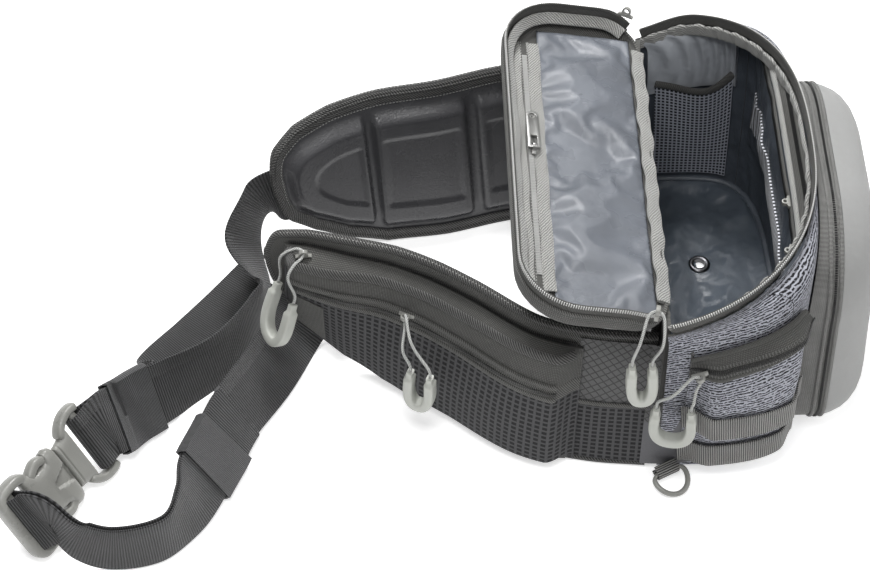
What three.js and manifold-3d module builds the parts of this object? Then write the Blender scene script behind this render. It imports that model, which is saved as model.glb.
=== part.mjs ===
// Hip pack: an open lumbar bag with a moulded front, two padded belt wings and a fastened belt.
// Millimetres, +Z up, +X away from the wearer, -Y the wearer's left.
import * as THREE from "three";
import Module from "manifold-3d";
import { mergeVertices } from "three/addons/utils/BufferGeometryUtils.js";

const wasm = await Module();
wasm.setup();

// Main bag
const BACK_X = -56;
const BAG_DEPTH = 112;
const BAG_HALF_WIDTH = 141;
const RIM_BACK_Z = 160;
const RIM_SLOPE = 0.33;
const WALL = 2.4;
const GAP = 0.4;
const FLOOR_WALL = 3;
const SHOULDER_START = 0.8;
const FAR_FLARE = 0.065;
// Front band and moulded front shell
const BAND_FRONT_X = 72;
const SHELL_FRONT_X = 103;
const BAND_WALL = 2;
const SHELL_WALL = 3;
// Lid
const LID_LENGTH = 110;
const LID_HALF_WIDTH = 146;
const LID_TILT = THREE.MathUtils.degToRad(10.4);
const LID_WALL = 2.4;
const LID_GUSSET = 15;
const TAPE_HEIGHT = 9;
const TAPE = 1.6;
// Belt wings
const PAD = 12;
const POCKET_WALL = 2;
// Belt webbing and buckle
const WEBBING = 50;
const WEBBING_THICK = 1.8;
const LAYER_GAP = 3.2;
const BAR_RADIUS = 3;
const TURN_RADIUS = 5.7;
const BUCKLE_HALF = 46;
const BAR_AT = 40;
const BUCKLE_WIDTH = 64;
const BUCKLE_THICK = 13;
// Zip pulls
const CORD = 2.2;
const HANDLE_ARM = 34;
const HANDLE_SPAN = 24;

const group = new THREE.Group();
const vec = (x, y, z) => new THREE.Vector3(x, y, z);
const mix = (a, b, t) => a + (b - a) * t;
const smooth = (a, b, t) => THREE.MathUtils.smoothstep(t, a, b);

function add(name, geometry, color, roughness = 0.85, metalness = 0) {
  const material = new THREE.MeshStandardMaterial({ color, roughness, metalness });
  const mesh = new THREE.Mesh(geometry, material);
  mesh.name = name;
  group.add(mesh);
  return mesh;
}

// A closed triangle mesh, turned so that it faces out
function solid(points, faces) {
  let volume = 0;
  const cross = vec(0, 0, 0);
  for (const [a, b, c] of faces) {
    volume += points[a].dot(cross.crossVectors(points[b], points[c]));
  }
  const geometry = new THREE.BufferGeometry();
  geometry.setAttribute("position", new THREE.Float32BufferAttribute(points.flatMap((p) => p.toArray()), 3));
  geometry.setIndex(faces.flatMap(([a, b, c]) => (volume < 0 ? [a, c, b] : [a, b, c])));
  geometry.computeVertexNormals();
  return geometry;
}

// Rings joined one to the next; an open run is capped at both ends
function loft(rings, closed = false) {
  const n = rings[0].length;
  const points = rings.flat();
  const faces = [];
  const count = closed ? rings.length : rings.length - 1;
  for (let i = 0; i < count; i++) {
    const k = (i + 1) % rings.length;
    for (let j = 0; j < n; j++) {
      const m = (j + 1) % n;
      faces.push([i * n + j, i * n + m, k * n + m]);
      faces.push([i * n + j, k * n + m, k * n + j]);
    }
  }
  if (!closed) {
    for (const [ring, turned] of [[0, true], [rings.length - 1, false]]) {
      const middle = points.length;
      const centre = vec(0, 0, 0);
      rings[ring].forEach((p) => centre.addScaledVector(p, 1 / n));
      points.push(centre);
      for (let j = 0; j < n; j++) {
        const a = ring * n + j;
        const b = ring * n + ((j + 1) % n);
        faces.push(turned ? [middle, b, a] : [middle, a, b]);
      }
    }
  }
  return solid(points, faces);
}

// A sheet with two sides: surface(u, v, offset) at two offsets, closed round its edge
function sheet(surface, us, vs, low, high) {
  const nu = us.length;
  const nv = vs.length;
  const at = (f, u, v) => (typeof f === "function" ? f(u, v) : f);
  const points = [];
  for (const side of [low, high]) {
    for (const u of us) {
      for (const v of vs) {
        points.push(surface(u, v, at(side, u, v)));
      }
    }
  }
  const id = (s, i, j) => s * nu * nv + i * nv + j;
  const faces = [];
  for (let i = 0; i + 1 < nu; i++) {
    for (let j = 0; j + 1 < nv; j++) {
      const q = (s) => [id(s, i, j), id(s, i + 1, j), id(s, i + 1, j + 1), id(s, i, j + 1)];
      const [a, b, c, d] = q(0);
      const [e, f, g, h] = q(1);
      faces.push([a, c, b], [a, d, c], [e, f, g], [e, g, h]);
    }
  }
  const edge = [];
  for (let i = 0; i + 1 < nu; i++) edge.push([i, 0, i + 1, 0]);
  for (let j = 0; j + 1 < nv; j++) edge.push([nu - 1, j, nu - 1, j + 1]);
  for (let i = nu - 1; i > 0; i--) edge.push([i, nv - 1, i - 1, nv - 1]);
  for (let j = nv - 1; j > 0; j--) edge.push([0, j, 0, j - 1]);
  for (const [i, j, k, m] of edge) {
    faces.push([id(0, i, j), id(0, k, m), id(1, k, m)]);
    faces.push([id(0, i, j), id(1, k, m), id(1, i, j)]);
  }
  return solid(points, faces);
}

// Steps of equal size from a to b
const steps = (n, a = 0, b = 1) => Array.from({ length: n + 1 }, (_, i) => mix(a, b, i / n));

// A surface moved along its own normal; outward says which way is out at a point
function offsetSurface(base, outward) {
  return (u, v, offset) => {
    const h = 1e-3;
    const p = base(u, v);
    const du = base(u + h, v).sub(base(u - h, v));
    const dv = base(u, v + h).sub(base(u, v - h));
    const n = du.cross(dv).normalize();
    if (n.dot(outward(p)) < 0) n.negate();
    return p.addScaledVector(n, offset);
  };
}

// Round rod along a curve, eight sides
function rod(curve, radius, ts, sides = 8) {
  let n = null;
  const rings = ts.map((t) => {
    const p = curve.getPoint(t);
    const d = curve.getTangent(t);
    if (!n) n = Math.abs(d.z) < 0.8 ? vec(0, 0, 1) : vec(1, 0, 0);
    n = n.clone().addScaledVector(d, -n.dot(d)).normalize();
    const b = d.clone().cross(n);
    return Array.from({ length: sides }, (_, k) => {
      const a = (2 * Math.PI * k) / sides;
      return p.clone().addScaledVector(n, radius * Math.cos(a)).addScaledVector(b, radius * Math.sin(a));
    });
  });
  return loft(rings);
}

function manifold(geometry) {
  const g = geometry.clone();
  g.deleteAttribute("normal");
  g.deleteAttribute("uv");
  const m = mergeVertices(g, 1e-4);
  return new wasm.Manifold(
    new wasm.Mesh({
      numProp: 3,
      vertProperties: new Float32Array(m.attributes.position.array),
      triVerts: new Uint32Array(m.index.array),
    })
  );
}

function fromManifold(body) {
  const m = body.getMesh();
  const geometry = new THREE.BufferGeometry();
  geometry.setAttribute("position", new THREE.Float32BufferAttribute(m.vertProperties, 3));
  geometry.setIndex(Array.from(m.triVerts));
  geometry.computeVertexNormals();
  return geometry;
}

// Bag form: plan outlines change from boxy at the floor to rounded at the rim
const rimZ = (x) => RIM_BACK_Z + RIM_SLOPE * (x - BACK_X);

function bagShape(v) {
  const low = Math.min(v / SHOULDER_START, 1);
  const top = Math.max(0, (v - SHOULDER_START) / (1 - SHOULDER_START));
  const angle = (Math.PI / 2) * Math.min(top, 1.2);
  const ease = 0.3 * low ** 1.5 + 0.7 * (1 - Math.cos(angle));
  return {
    height: top > 0 ? 0.9 + 0.1 * Math.sin(angle) : 0.9 * (v / SHOULDER_START),
    p: mix(6, 2.1, ease),
    q: mix(4, 2.6, ease),
    width: BAG_HALF_WIDTH + 2 * low,
    depth: BAG_DEPTH,
    ease,
  };
}
// The far end of the rim is pushed out a little by what the bag last held
const farFlare = (x, ease, sign) => (sign > 0 ? 1 + FAR_FLARE * ease * smooth(0, 45, x - BACK_X) : 1);

function bagSide(x, v, sign) {
  const s = bagShape(v);
  const t = Math.max(0, (x - BACK_X) / s.depth);
  const y = s.width * Math.max(1e-6, 1 - t ** s.p) ** (1 / s.q) * farFlare(x, s.ease, sign);
  return vec(x, sign * y, s.height * rimZ(x));
}

// Round the bag from the left back corner (turn -1) past the front (0) to the right (1)
function bagWall(turn, v) {
  const s = bagShape(v);
  const a = (Math.PI / 2) * (1 - Math.abs(turn));
  const bend = mix(1.7, 1, Math.min(1, s.p < 2.2 ? 1 : 0.2));
  const lean = Math.sin(a) ** bend;
  const t = lean ** (2 / s.p);
  const y = s.width * Math.max(0, 1 - t ** s.p) ** (1 / s.q);
  const x = BACK_X + s.depth * t;
  return vec(x, Math.sign(turn) * y * farFlare(x, s.ease, turn), s.height * rimZ(x));
}

const fromAxis = (p) => vec(p.x - (BACK_X + 20), p.y, 0);
const wall = (turn, v, offset) => {
  const h = 2e-3;
  const p = bagWall(turn, v);
  const du = bagWall(Math.min(1, turn + h), v).sub(bagWall(Math.max(-1, turn - h), v));
  const below = Math.min(v, 0.97);
  const dv = bagWall(turn, below + h).sub(bagWall(turn, Math.max(0, below - h)));
  const n = du.cross(dv);
  n.z *= 0.4;
  n.normalize();
  if (n.dot(fromAxis(p)) < 0) n.negate();
  return p.addScaledVector(n, offset);
};

const WALL_ROWS = [0, 0.3, 0.6, 0.8, 0.88, 0.94, 1];
const SIDE_END = 0.5;
const sideTurns = [0.53, 0.57, 0.61, 0.66, 0.72, 0.79, 0.86, 0.93, 1];
const CLOTH = 0x5f5f5c;
const KNIT = 0x8d8c92;
const LINING = 0x6e7580;
const WEB = 0x4b4b4b;
const HARD = 0x8f8f88;
const PULL = 0xbec1bb;

add("side_panel_left", sheet((u, v, o) => wall(-u, v, o), sideTurns, WALL_ROWS, -WALL, 0), KNIT);
add("side_panel_right", sheet((u, v, o) => wall(u, v, o), sideTurns, WALL_ROWS, -WALL, 0), KNIT);
const frontTurns = steps(12, -0.522, 0.522);
add("front_panel", sheet(wall, frontTurns, WALL_ROWS, -WALL, 0), CLOTH);

// Back panel between the side panels
const backSurface = (u, v, o) => vec(BACK_X + 3 + o, u * (BAG_HALF_WIDTH - 3.2), v * (RIM_BACK_Z + 4.4));
add("back_panel", sheet(backSurface, steps(4, -1, 1), [0, 0.5, 1], -3, 0), CLOTH);

// Bottom panel inside the walls, with a drain hole
const GROMMET_X = -2.5;
const GROMMET_Y = 47;
const DRAIN_RADIUS = 6.2;
const floorOutline = [];
for (const turn of [...steps(20, -0.985, 0.985)]) {
  const p = wall(turn, 0, -WALL - 0.6);
  floorOutline.push(new THREE.Vector2(Math.max(p.x, BACK_X + 3.6), p.y));
}
const backCorner = BAG_HALF_WIDTH - WALL - 0.7;
floorOutline.unshift(new THREE.Vector2(BACK_X + 3.6, -backCorner));
floorOutline.push(new THREE.Vector2(BACK_X + 3.6, backCorner));
const floorShape = new THREE.Shape(floorOutline);
const drain = new THREE.Path();
drain.absarc(GROMMET_X, GROMMET_Y, DRAIN_RADIUS, 0, 2 * Math.PI, true);
floorShape.holes.push(drain);
add(
  "bottom_panel",
  new THREE.ExtrudeGeometry(floorShape, { depth: FLOOR_WALL, bevelEnabled: false, curveSegments: 8 }),
  CLOTH
);

// Drain grommet: one flanged ring through the bottom panel, its flange inside
const grommetProfile = [[4.3, 0.3], [5.7, 0.3], [5.7, 3.4], [8, 3.4], [7.6, 4.6], [4.3, 4.6]];
const grommetRings = grommetProfile.map(([r, z]) =>
  Array.from({ length: 14 }, (_, i) => {
    const a = (2 * Math.PI * i) / 14;
    return vec(GROMMET_X + r * Math.cos(a), GROMMET_Y + r * Math.sin(a), z);
  })
);
add("drain_grommet", loft(grommetRings, true), 0x2b2b2b, 0.4, 0.6);

// Zip tape standing on the rim, from back corner to back corner
const rimTape = (turn, v, o) => {
  const h = 2e-3;
  const p = bagWall(turn, 1);
  const d = bagWall(turn + h, 1).sub(bagWall(turn - h, 1));
  const n = vec(d.y, -d.x, 0).normalize();
  if (n.dot(fromAxis(p)) < 0) n.negate();
  p.addScaledVector(n, o - TAPE);
  p.z = rimZ(p.x) + 1.2 + v * TAPE_HEIGHT;
  return p;
};
add("rim_zip_tape", sheet(rimTape, steps(32, -0.985, 0.985), [0, 1], -TAPE / 2, TAPE / 2), 0x9a9b9a);

// Front band: outline of the front compartment, a trapezoid with rounded corners
const FRONT = { low: 4, high: 190, wide: 117, narrow: 105, topRadius: 70, bottomRadius: 34 };
function frontOutline(inset) {
  const corners = [
    { y: FRONT.wide - inset, z: FRONT.low + inset, r: Math.max(5, FRONT.bottomRadius - inset * 0.2), a: -90 },
    { y: FRONT.narrow - inset, z: FRONT.high - inset, r: Math.max(8, FRONT.topRadius - inset * 0.4), a: 0 },
  ];
  const half = [];
  for (const c of corners) {
    const n = c.a < 0 ? 4 : 7;
    for (let i = 0; i <= n; i++) {
      const a = THREE.MathUtils.degToRad(c.a + (90 * i) / n);
      const cz = c.a < 0 ? c.z + c.r : c.z - c.r;
      half.push([c.y - c.r + c.r * Math.cos(a), cz + c.r * Math.sin(a)]);
    }
  }
  const [bottomY, bottomZ] = half[0];
  const [topY, topZ] = half[half.length - 1];
  half.unshift([bottomY * 0.5, bottomZ]);
  half.push([topY * 0.5, topZ]);
  const mirror = half.map(([y, z]) => [-y, z]).reverse();
  return [...half, [0, topZ], ...mirror, [0, bottomZ]];
}

// Where the bag front is, seen along X, for a place on the front
function bagFront(y, z) {
  let x = BACK_X + BAG_DEPTH;
  for (let i = 0; i < 12; i++) {
    let a = 0;
    let b = 1;
    for (let k = 0; k < 24; k++) {
      const m = (a + b) / 2;
      if (bagShape(m).height * rimZ(x) < z) a = m;
      else b = m;
    }
    const s = bagShape(a);
    const t = Math.max(0.2, 1 - (Math.abs(y) / (s.width * farFlare(x, s.ease, y))) ** s.q) ** (1 / s.p);
    x = mix(x, BACK_X + s.depth * t, 0.6);
  }
  return x;
}
const bandRing = (inset, x) =>
  frontOutline(inset).map(([y, z]) => vec(x === null ? Math.max(bagFront(y, z), 44) + 1.3 : x, y, z));
add(
  "front_zip_band",
  loft([bandRing(0, null), bandRing(0, BAND_FRONT_X), bandRing(BAND_WALL, BAND_FRONT_X), bandRing(BAND_WALL, null)], true),
  0x9a9b9a
);

// Moulded front shell: a deep rounded bowl, open towards the band
const SHELL_ROWS = [
  { inset: 44, depth: 1 },
  { inset: 26, depth: 0.93 },
  { inset: 12.5, depth: 0.76 },
  { inset: 4, depth: 0.42 },
  { inset: 0, depth: 0 },
];
const shellX = (d) => mix(BAND_FRONT_X + GAP, SHELL_FRONT_X, d);
const shellOuter = SHELL_ROWS.map((r) => bandRing(r.inset, shellX(r.depth)));
const shellInner = SHELL_ROWS.map((r) =>
  bandRing(r.inset + SHELL_WALL * (1 - 0.5 * r.depth), r.depth === 0 ? shellX(0) : shellX(r.depth) - SHELL_WALL)
).reverse();
add("front_shell", loft([...shellOuter, ...shellInner]), 0xa9aaa8, 0.6);

// Lid: a tray hinged along the top of the back, laid open
const lidFrame = {
  origin: vec(BACK_X + 0.9, 0, RIM_BACK_Z + 1.7),
  out: vec(-Math.cos(LID_TILT), 0, Math.sin(LID_TILT)),
  up: vec(Math.sin(LID_TILT), 0, Math.cos(LID_TILT)),
};
const lidPoint = (a, y, c) =>
  lidFrame.origin.clone().addScaledVector(lidFrame.out, a).addScaledVector(lidFrame.up, c).add(vec(0, y, 0));
const LID_CORNERS = [
  { a: 0, radius: 26, from: 180, count: 4 },
  { a: LID_LENGTH, radius: 44, from: 90, count: 7 },
];
function lidOutline(inset, flare = 0) {
  const half = [];
  const width = LID_HALF_WIDTH - inset + flare;
  for (const c of LID_CORNERS) {
    const r = c.radius - inset * 0.5;
    const end = c.a === 0 ? inset : LID_LENGTH - inset + flare;
    const centre = c.a === 0 ? end + r : end - r;
    for (let i = 0; i <= c.count; i++) {
      const g = THREE.MathUtils.degToRad(c.from - (90 * i) / c.count);
      half.push([centre + r * Math.cos(g), width - r + r * Math.sin(g)]);
    }
  }
  return [...half, ...half.map(([a, y]) => [a, -y]).reverse()];
}
const gussetHeight = (a) => mix(7, LID_GUSSET, smooth(0, 34, a));
const lidRing = (inset, c, flare = 0) =>
  lidOutline(inset, flare).map(([a, y]) => lidPoint(a, y, typeof c === "function" ? c(a) : c));
add(
  "lid_shell",
  loft([
    lidRing(30, 0),
    lidRing(5, 0),
    lidRing(2, 3),
    lidRing(1, gussetHeight),
    lidRing(1 + LID_WALL, gussetHeight),
    lidRing(2 + LID_WALL, 5),
    lidRing(6, 2.6),
    lidRing(30, 2.6),
  ]),
  CLOTH
);

// Zip tape standing on the lid edge, open at the hinge
const lidLoop = lidOutline(1 + LID_WALL / 2);
const lidTapeRows = lidLoop.slice(3, lidLoop.length - 3);
const lidTapeRings = lidTapeRows.map(([a, y], i) => {
  const before = lidTapeRows[Math.max(0, i - 1)];
  const after = lidTapeRows[Math.min(lidTapeRows.length - 1, i + 1)];
  const d = new THREE.Vector2(after[0] - before[0], after[1] - before[1]).normalize();
  const c = gussetHeight(a) + GAP;
  const corner = (k, h) => lidPoint(a + d.y * k, y - d.x * k, h);
  const t = TAPE / 2;
  return [corner(-t, c), corner(t, c), corner(t, c + TAPE_HEIGHT), corner(-t, c + TAPE_HEIGHT)];
});
add("lid_zip_tape", loft(lidTapeRings), 0x9a9b9a);

// Lid lining: slack cloth across the tray, with shallow folds
const liningSurface = (a, y, o) => {
  const across = Math.min(1, (LID_HALF_WIDTH - 12 - Math.abs(y)) / 20);
  const along = Math.sin((Math.PI * (a - 12)) / 72);
  const fold = 1.2 * Math.sin(y / 13 + a / 25) + 0.8 * Math.sin(y / 7.5 - a / 18);
  return lidPoint(a, y, 3.1 + o + across * along * (5 + fold));
};
add("lid_lining", sheet(liningSurface, steps(4, 14, 80), steps(14, -126, 126), 0, 1.4), LINING, 0.4);

// Lid pocket zip band next to the free edge
const lidZipSurface = (a, y, o) => lidPoint(a, y, 3.1 + o + 2.2 * Math.sin((Math.PI * (a - 81)) / 20));
add("lid_pocket_zip", sheet(lidZipSurface, steps(4, 81, 100), steps(10, -98, 98), 0, 1.6), 0x8b8d8e);

// Seam binding along the hinge
const hingeSurface = (a, y, o) => lidPoint(a, y, 3.1 + o + 1.5 * Math.sin((Math.PI * (a - 7)) / 6));
add("lid_hinge_binding", sheet(hingeSurface, [7.5, 10, 13], steps(6, -117, 117), 0, 2), 0xa8abae);

// Metal slider and pull tab of the lid pocket
const LID_SLIDER_A = 89;
const LID_SLIDER_Y = 10;
const LID_ZIP_TOP = 3.1 + 1.6 + 2.2;
const TAB = { length: 33, width: 9, thick: 1.6, pin: 1.1, hole: 2.6 };
const lidPlace = (u, v, n) => lidPoint(LID_SLIDER_A + u, LID_SLIDER_Y + v, LID_ZIP_TOP + GAP + n);
const moved = (geometry, place) => {
  const g = geometry.clone();
  const at = g.attributes.position;
  for (let i = 0; i < at.count; i++) {
    const p = place(at.getX(i), at.getY(i), at.getZ(i));
    at.setXYZ(i, p.x, p.y, p.z);
  }
  return solidFrom(g);
};
function solidFrom(g) {
  const m = g.index ? g : mergeVertices(strip(g), 1e-4);
  const at = m.attributes.position;
  const points = Array.from({ length: at.count }, (_, i) => vec(at.getX(i), at.getY(i), at.getZ(i)));
  const faces = [];
  for (let i = 0; i < m.index.count; i += 3) faces.push([m.index.getX(i), m.index.getX(i + 1), m.index.getX(i + 2)]);
  return solid(points, faces);
}
function strip(g) {
  g.deleteAttribute("normal");
  g.deleteAttribute("uv");
  return g;
}

// Slider seen from its side: a low foot with an eye above it; u along the zip, n up
function sliderBody(length, height, width, eye) {
  const s = new THREE.Shape();
  const r = eye + 1.3;
  const top = height - r;
  s.moveTo(-length / 2, 0);
  s.lineTo(length / 2, 0);
  s.lineTo(length / 2, 1.6);
  s.lineTo(r, 2.4);
  s.lineTo(r, top);
  s.absarc(0, top, r, 0, Math.PI, false);
  s.lineTo(-r, 2.4);
  s.lineTo(-length / 2, 1.6);
  const hole = new THREE.Path();
  hole.absarc(0, top, eye, 0, 2 * Math.PI, true);
  s.holes.push(hole);
  const g = new THREE.ExtrudeGeometry(s, { depth: width, bevelEnabled: false, curveSegments: 4 });
  g.translate(0, 0, -width / 2);
  return { geometry: g, eyeHeight: top };
}
const lidSlider = sliderBody(11, 6.6, 3, TAB.pin + 0.9);
const lidEye = lidSlider.eyeHeight;
add("lid_pocket_slider", moved(lidSlider.geometry, (u, n, w) => lidPlace(w, u, n)), 0xb5b5b2, 0.3, 0.9);
const tabShape = new THREE.Shape();
tabShape.moveTo(-TAB.width / 2, -3.4);
tabShape.lineTo(TAB.width / 2, -3.4);
tabShape.lineTo(TAB.width / 2, TAB.length - 6);
tabShape.absarc(0, TAB.length - 6, TAB.width / 2, 0, Math.PI, false);
const tabWindow = new THREE.Path();
tabWindow.moveTo(-2.4, -TAB.pin);
tabWindow.lineTo(-2.4, 8);
tabWindow.lineTo(2.4, 8);
tabWindow.lineTo(2.4, -TAB.pin);
const tabHole = new THREE.Path();
tabHole.absarc(0, TAB.length - 6, TAB.hole, 0, 2 * Math.PI, true);
tabShape.holes.push(tabWindow, tabHole);
const tabPlate = new THREE.ExtrudeGeometry(tabShape, { depth: TAB.thick, bevelEnabled: false, curveSegments: 5 });
tabPlate.translate(0, 2.25, lidEye - TAB.thick / 2);
add("lid_pull_tab", moved(tabPlate, (u, v, n) => lidPlace(u, v, n)), 0xb5b5b2, 0.3, 0.9);

// Wings: the outer face of each pad in plan at half height, with its low and high edge
const WING = {
  left: {
    sign: -1,
    lean: 0.14,
    rows: [
      { x: -60, y: -133, low: 3, high: 132 },
      { x: -103, y: -127, low: 2, high: 131 },
      { x: -146, y: -113, low: 1, high: 130 },
      { x: -193, y: -78, low: 1, high: 130 },
      { x: -220, y: -60, low: 1, high: 130 },
      { x: -246, y: -47, low: 7, high: 130 },
      { x: -277, y: -36, low: 20, high: 128 },
      { x: -309, y: -25, low: 44, high: 125 },
      { x: -339, y: -17, low: 80, high: 117 },
    ],
  },
  right: {
    sign: 1,
    lean: 0.28,
    rows: [
      { x: -60, y: 135, low: 3, high: 136 },
      { x: -100, y: 131, low: 2, high: 135 },
      { x: -130, y: 126, low: 1, high: 134 },
      { x: -162, y: 120, low: 1, high: 134 },
      { x: -204, y: 109, low: 1, high: 133 },
      { x: -252, y: 101, low: 3, high: 132 },
      { x: -284, y: 90, low: 16, high: 130 },
      { x: -309, y: 78, low: 34, high: 124 },
      { x: -331, y: 64, low: 58, high: 108 },
    ],
  },
};
for (const wing of Object.values(WING)) {
  const line = (pick) => new THREE.CatmullRomCurve3(wing.rows.map(pick), false, "centripetal");
  const plan = line((r) => vec(r.x, r.y, 0));
  const span = wing.rows.length - 1;
  const edge = (u, key) => {
    const k = Math.min(span - 1, Math.floor(u * span));
    const t = u * span - k;
    return mix(wing.rows[k][key], wing.rows[k + 1][key], t);
  };
  wing.base = (u, v) => {
    const w = THREE.MathUtils.clamp(u, 0, 1);
    const p = plan.getPoint(w);
    const t = plan.getTangent(w);
    const n = vec(t.y, -t.x, 0).normalize();
    if (n.y * wing.sign < 0) n.negate();
    const z = mix(edge(w, "low"), edge(w, "high"), v);
    const tip = wing.sign < 0 ? -wing.lean : wing.lean;
    return { p: p.clone().addScaledVector(n, tip * (z - 62)).setZ(z), n };
  };
  wing.at = (u, v, o) => {
    const { p, n } = wing.base(u, v);
    return p.addScaledVector(n, o);
  };
}
const wingUs = steps(20);
const padVs = [0, 0.05, 0.16, 0.5, 0.84, 0.95, 1];
const raised = (u, v) => {
  const grooves = [0.35, 0.55, 0.75].map((g) => Math.min(1, Math.abs(u - g) / 0.04));
  const flange = smooth(0.04, 0.16, v) * (1 - smooth(0.84, 0.96, v)) * smooth(0.0, 0.06, u) * (1 - smooth(0.93, 1, u));
  return flange * Math.min(...grooves);
};
const padInner = (u, v) => -(PAD - 5) - 5 * raised(u, v) + 2 * (v === 0 || v === 1 ? 1 : 0);
const padOuter = (u, v) => (v === 0 || v === 1 ? -2 : 0);
add("wing_pad_left", sheet(WING.left.at, wingUs, padVs, padInner, padOuter), 0x3a3b3d, 0.6);
add("wing_pad_right", sheet(WING.right.at, wingUs, padVs, padInner, padOuter), 0x3a3b3d, 0.6);

// Wing pockets: bulging covers on the outer face of the pads, open towards them
const pocketUs = [0.15, 0.2, 0.25, 0.3, 0.35, 0.4, 0.45, 0.5, 0.6, 0.7, 0.8, 0.85, 0.9, 0.94];
const pocketVs = [0.02, 0.07, 0.28, 0.5, 0.68, 0.86, 0.9];
const pocketRise = (u, v) => {
  const along = smooth(0.15, 0.2, u) * (1 - smooth(0.89, 0.94, u));
  const wallRise = smooth(0.02, 0.07, v) * (1 - smooth(0.86, 0.9, v));
  const tip = 7 * smooth(0.6, 0.85, u) * smooth(0.3, 0.9, v);
  const low = 4.5 * (1 - smooth(0.5, 0.8, u)) * (1 - smooth(0, 0.6, v));
  return along * wallRise * (8 + 8 * Math.sin(Math.PI * v) + tip + low);
};
for (const side of ["left", "right"]) {
  const reach = side === "left" ? 1 : 0.8;
  const place = (u, v, o) => WING[side].at(u * reach, v, o);
  const low = (u, v) => 0.7 + pocketRise(u, v);
  const high = (u, v) => 0.7 + POCKET_WALL + pocketRise(u, v);
  add(`wing_pocket_${side}`, sheet(place, pocketUs, pocketVs, low, high), 0x55565a);
}

// Back pad between the wing roots, under the lid hinge
const padFace = (y, z, o) => vec(BACK_X - GAP - o, y, z);
const padDepth = (y, z) => {
  const rim = smooth(0, 14, 112 - Math.abs(y)) * smooth(6, 20, z) * (1 - smooth(138, 152, z));
  return 6 + 7 * rim * Math.min(1, Math.abs(Math.abs(y) - 40) / 6);
};
const padYs = [-112, -98, -46, -40, -34, 34, 40, 46, 98, 112];
add("back_pad", sheet(padFace, padYs, [6, 20, 79, 138, 152], 0, padDepth), 0x3a3b3d, 0.6);

// Side pockets: knit covers over the bag sides, higher towards the front
const SIDE = { back: -38, front: 40, low: 14, top: 118, rise: 0.42 };
const sideTop = (x) => SIDE.top + SIDE.rise * (x - SIDE.back);
const sideBase = (sign) =>
  offsetSurface(
    (x, z) => {
      let a = 0;
      let b = 0.98;
      for (let k = 0; k < 26; k++) {
        const m = (a + b) / 2;
        if (bagShape(m).height * rimZ(x) < z) a = m;
        else b = m;
      }
      return bagSide(x, a, sign).setZ(z);
    },
    () => vec(0, sign, 0)
  );
const sideRise = (x, z) => {
  const k = (z - SIDE.low) / (sideTop(x) - SIDE.low);
  const ends = smooth(SIDE.back, SIDE.back + 22, x) * (1 - smooth(SIDE.front - 12, SIDE.front, x) * 0.8);
  return ends * (13 * Math.sin(Math.PI * Math.min(1, k * 0.72)) + 2 * k);
};
const SIDE_GAP = 0.8;
const hood = (x, k) => 4 * Math.sin(Math.PI * k) * smooth(-10, 30, x);
for (const [side, sign] of [["left", -1], ["right", 1]]) {
  const at = sideBase(sign);
  const pocket = (x, k, o) => {
    const z = mix(SIDE.low, sideTop(x), k);
    return at(x, z, o + SIDE_GAP + sideRise(x, z));
  };
  const xs = [-38, -32, -24, -12, 2, 16, 28, 35, 40];
  add(`side_pocket_${side}`, sheet(pocket, xs, [0, 0.12, 0.3, 0.5, 0.7, 0.86, 1], 0, 1.8), KNIT);
  const strip = (x, k, o) => {
    const z = sideTop(x) + 0.6 + 17 * k;
    const edge = sideRise(x, sideTop(x));
    return at(x, z, o + SIDE_GAP + edge * (1 - 0.9 * k ** 2) + hood(x, k));
  };
  add(`side_zip_${side}`, sheet(strip, xs, [0, 0.25, 0.5, 0.75, 1], 0, 2), CLOTH);
  // Flat webbing across the pocket
  for (const [level, zAt, reach] of [["upper", 70, 1], ["lower", 28, 1]]) {
    const band = (x, k, o) => {
      const z = zAt + 25 * (k - 0.5) + 0.1 * (x - SIDE.back);
      const rise = Math.max(...[-13, -6, 0, 6, 13].map((d) => sideRise(x, zAt + 0.1 * (x - SIDE.back) + d)));
      const p = at(x, zAt + 0.1 * (x - SIDE.back), o + SIDE_GAP + 1.8 + 1.25 + rise * reach);
      return p.setZ(z);
    };
    add(`side_webbing_${level}_${side}`, sheet(band, steps(11, -40, 41), [0, 1], 0, 1.6), WEB);
  }
}

// Inside the bag: mesh pocket on the far end wall and a slack pocket on the front wall
const endPocket = (turn, k, o) => {
  const sag = 0.08 * Math.sin(Math.PI * THREE.MathUtils.clamp((turn - 0.62) / 0.36, 0, 1));
  const v = mix(0.06, 0.62 - sag, k);
  return wall(turn, v, -WALL - 0.8 - 4 * k * Math.sin((Math.PI * (turn - 0.6)) / 0.39) - o);
};
add("end_pocket", sheet(endPocket, steps(10, 0.62, 0.97), [0, 0.4, 0.8, 1], 0, 1.5), 0x3f4246);
const frontPocket = (turn, k, o) => {
  const v = mix(0.3, 0.86, k);
  const slack = Math.sin((Math.PI * (turn + 0.44)) / 0.88);
  return wall(turn, v, -WALL - 1.4 - slack * (4 + 10 * Math.sin(Math.PI * k * 0.8)) - o);
};
add("front_inner_pocket", sheet(frontPocket, steps(12, -0.44, 0.44), [0, 0.25, 0.5, 0.75, 1], 0, 1.5), LINING, 0.4);

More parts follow.
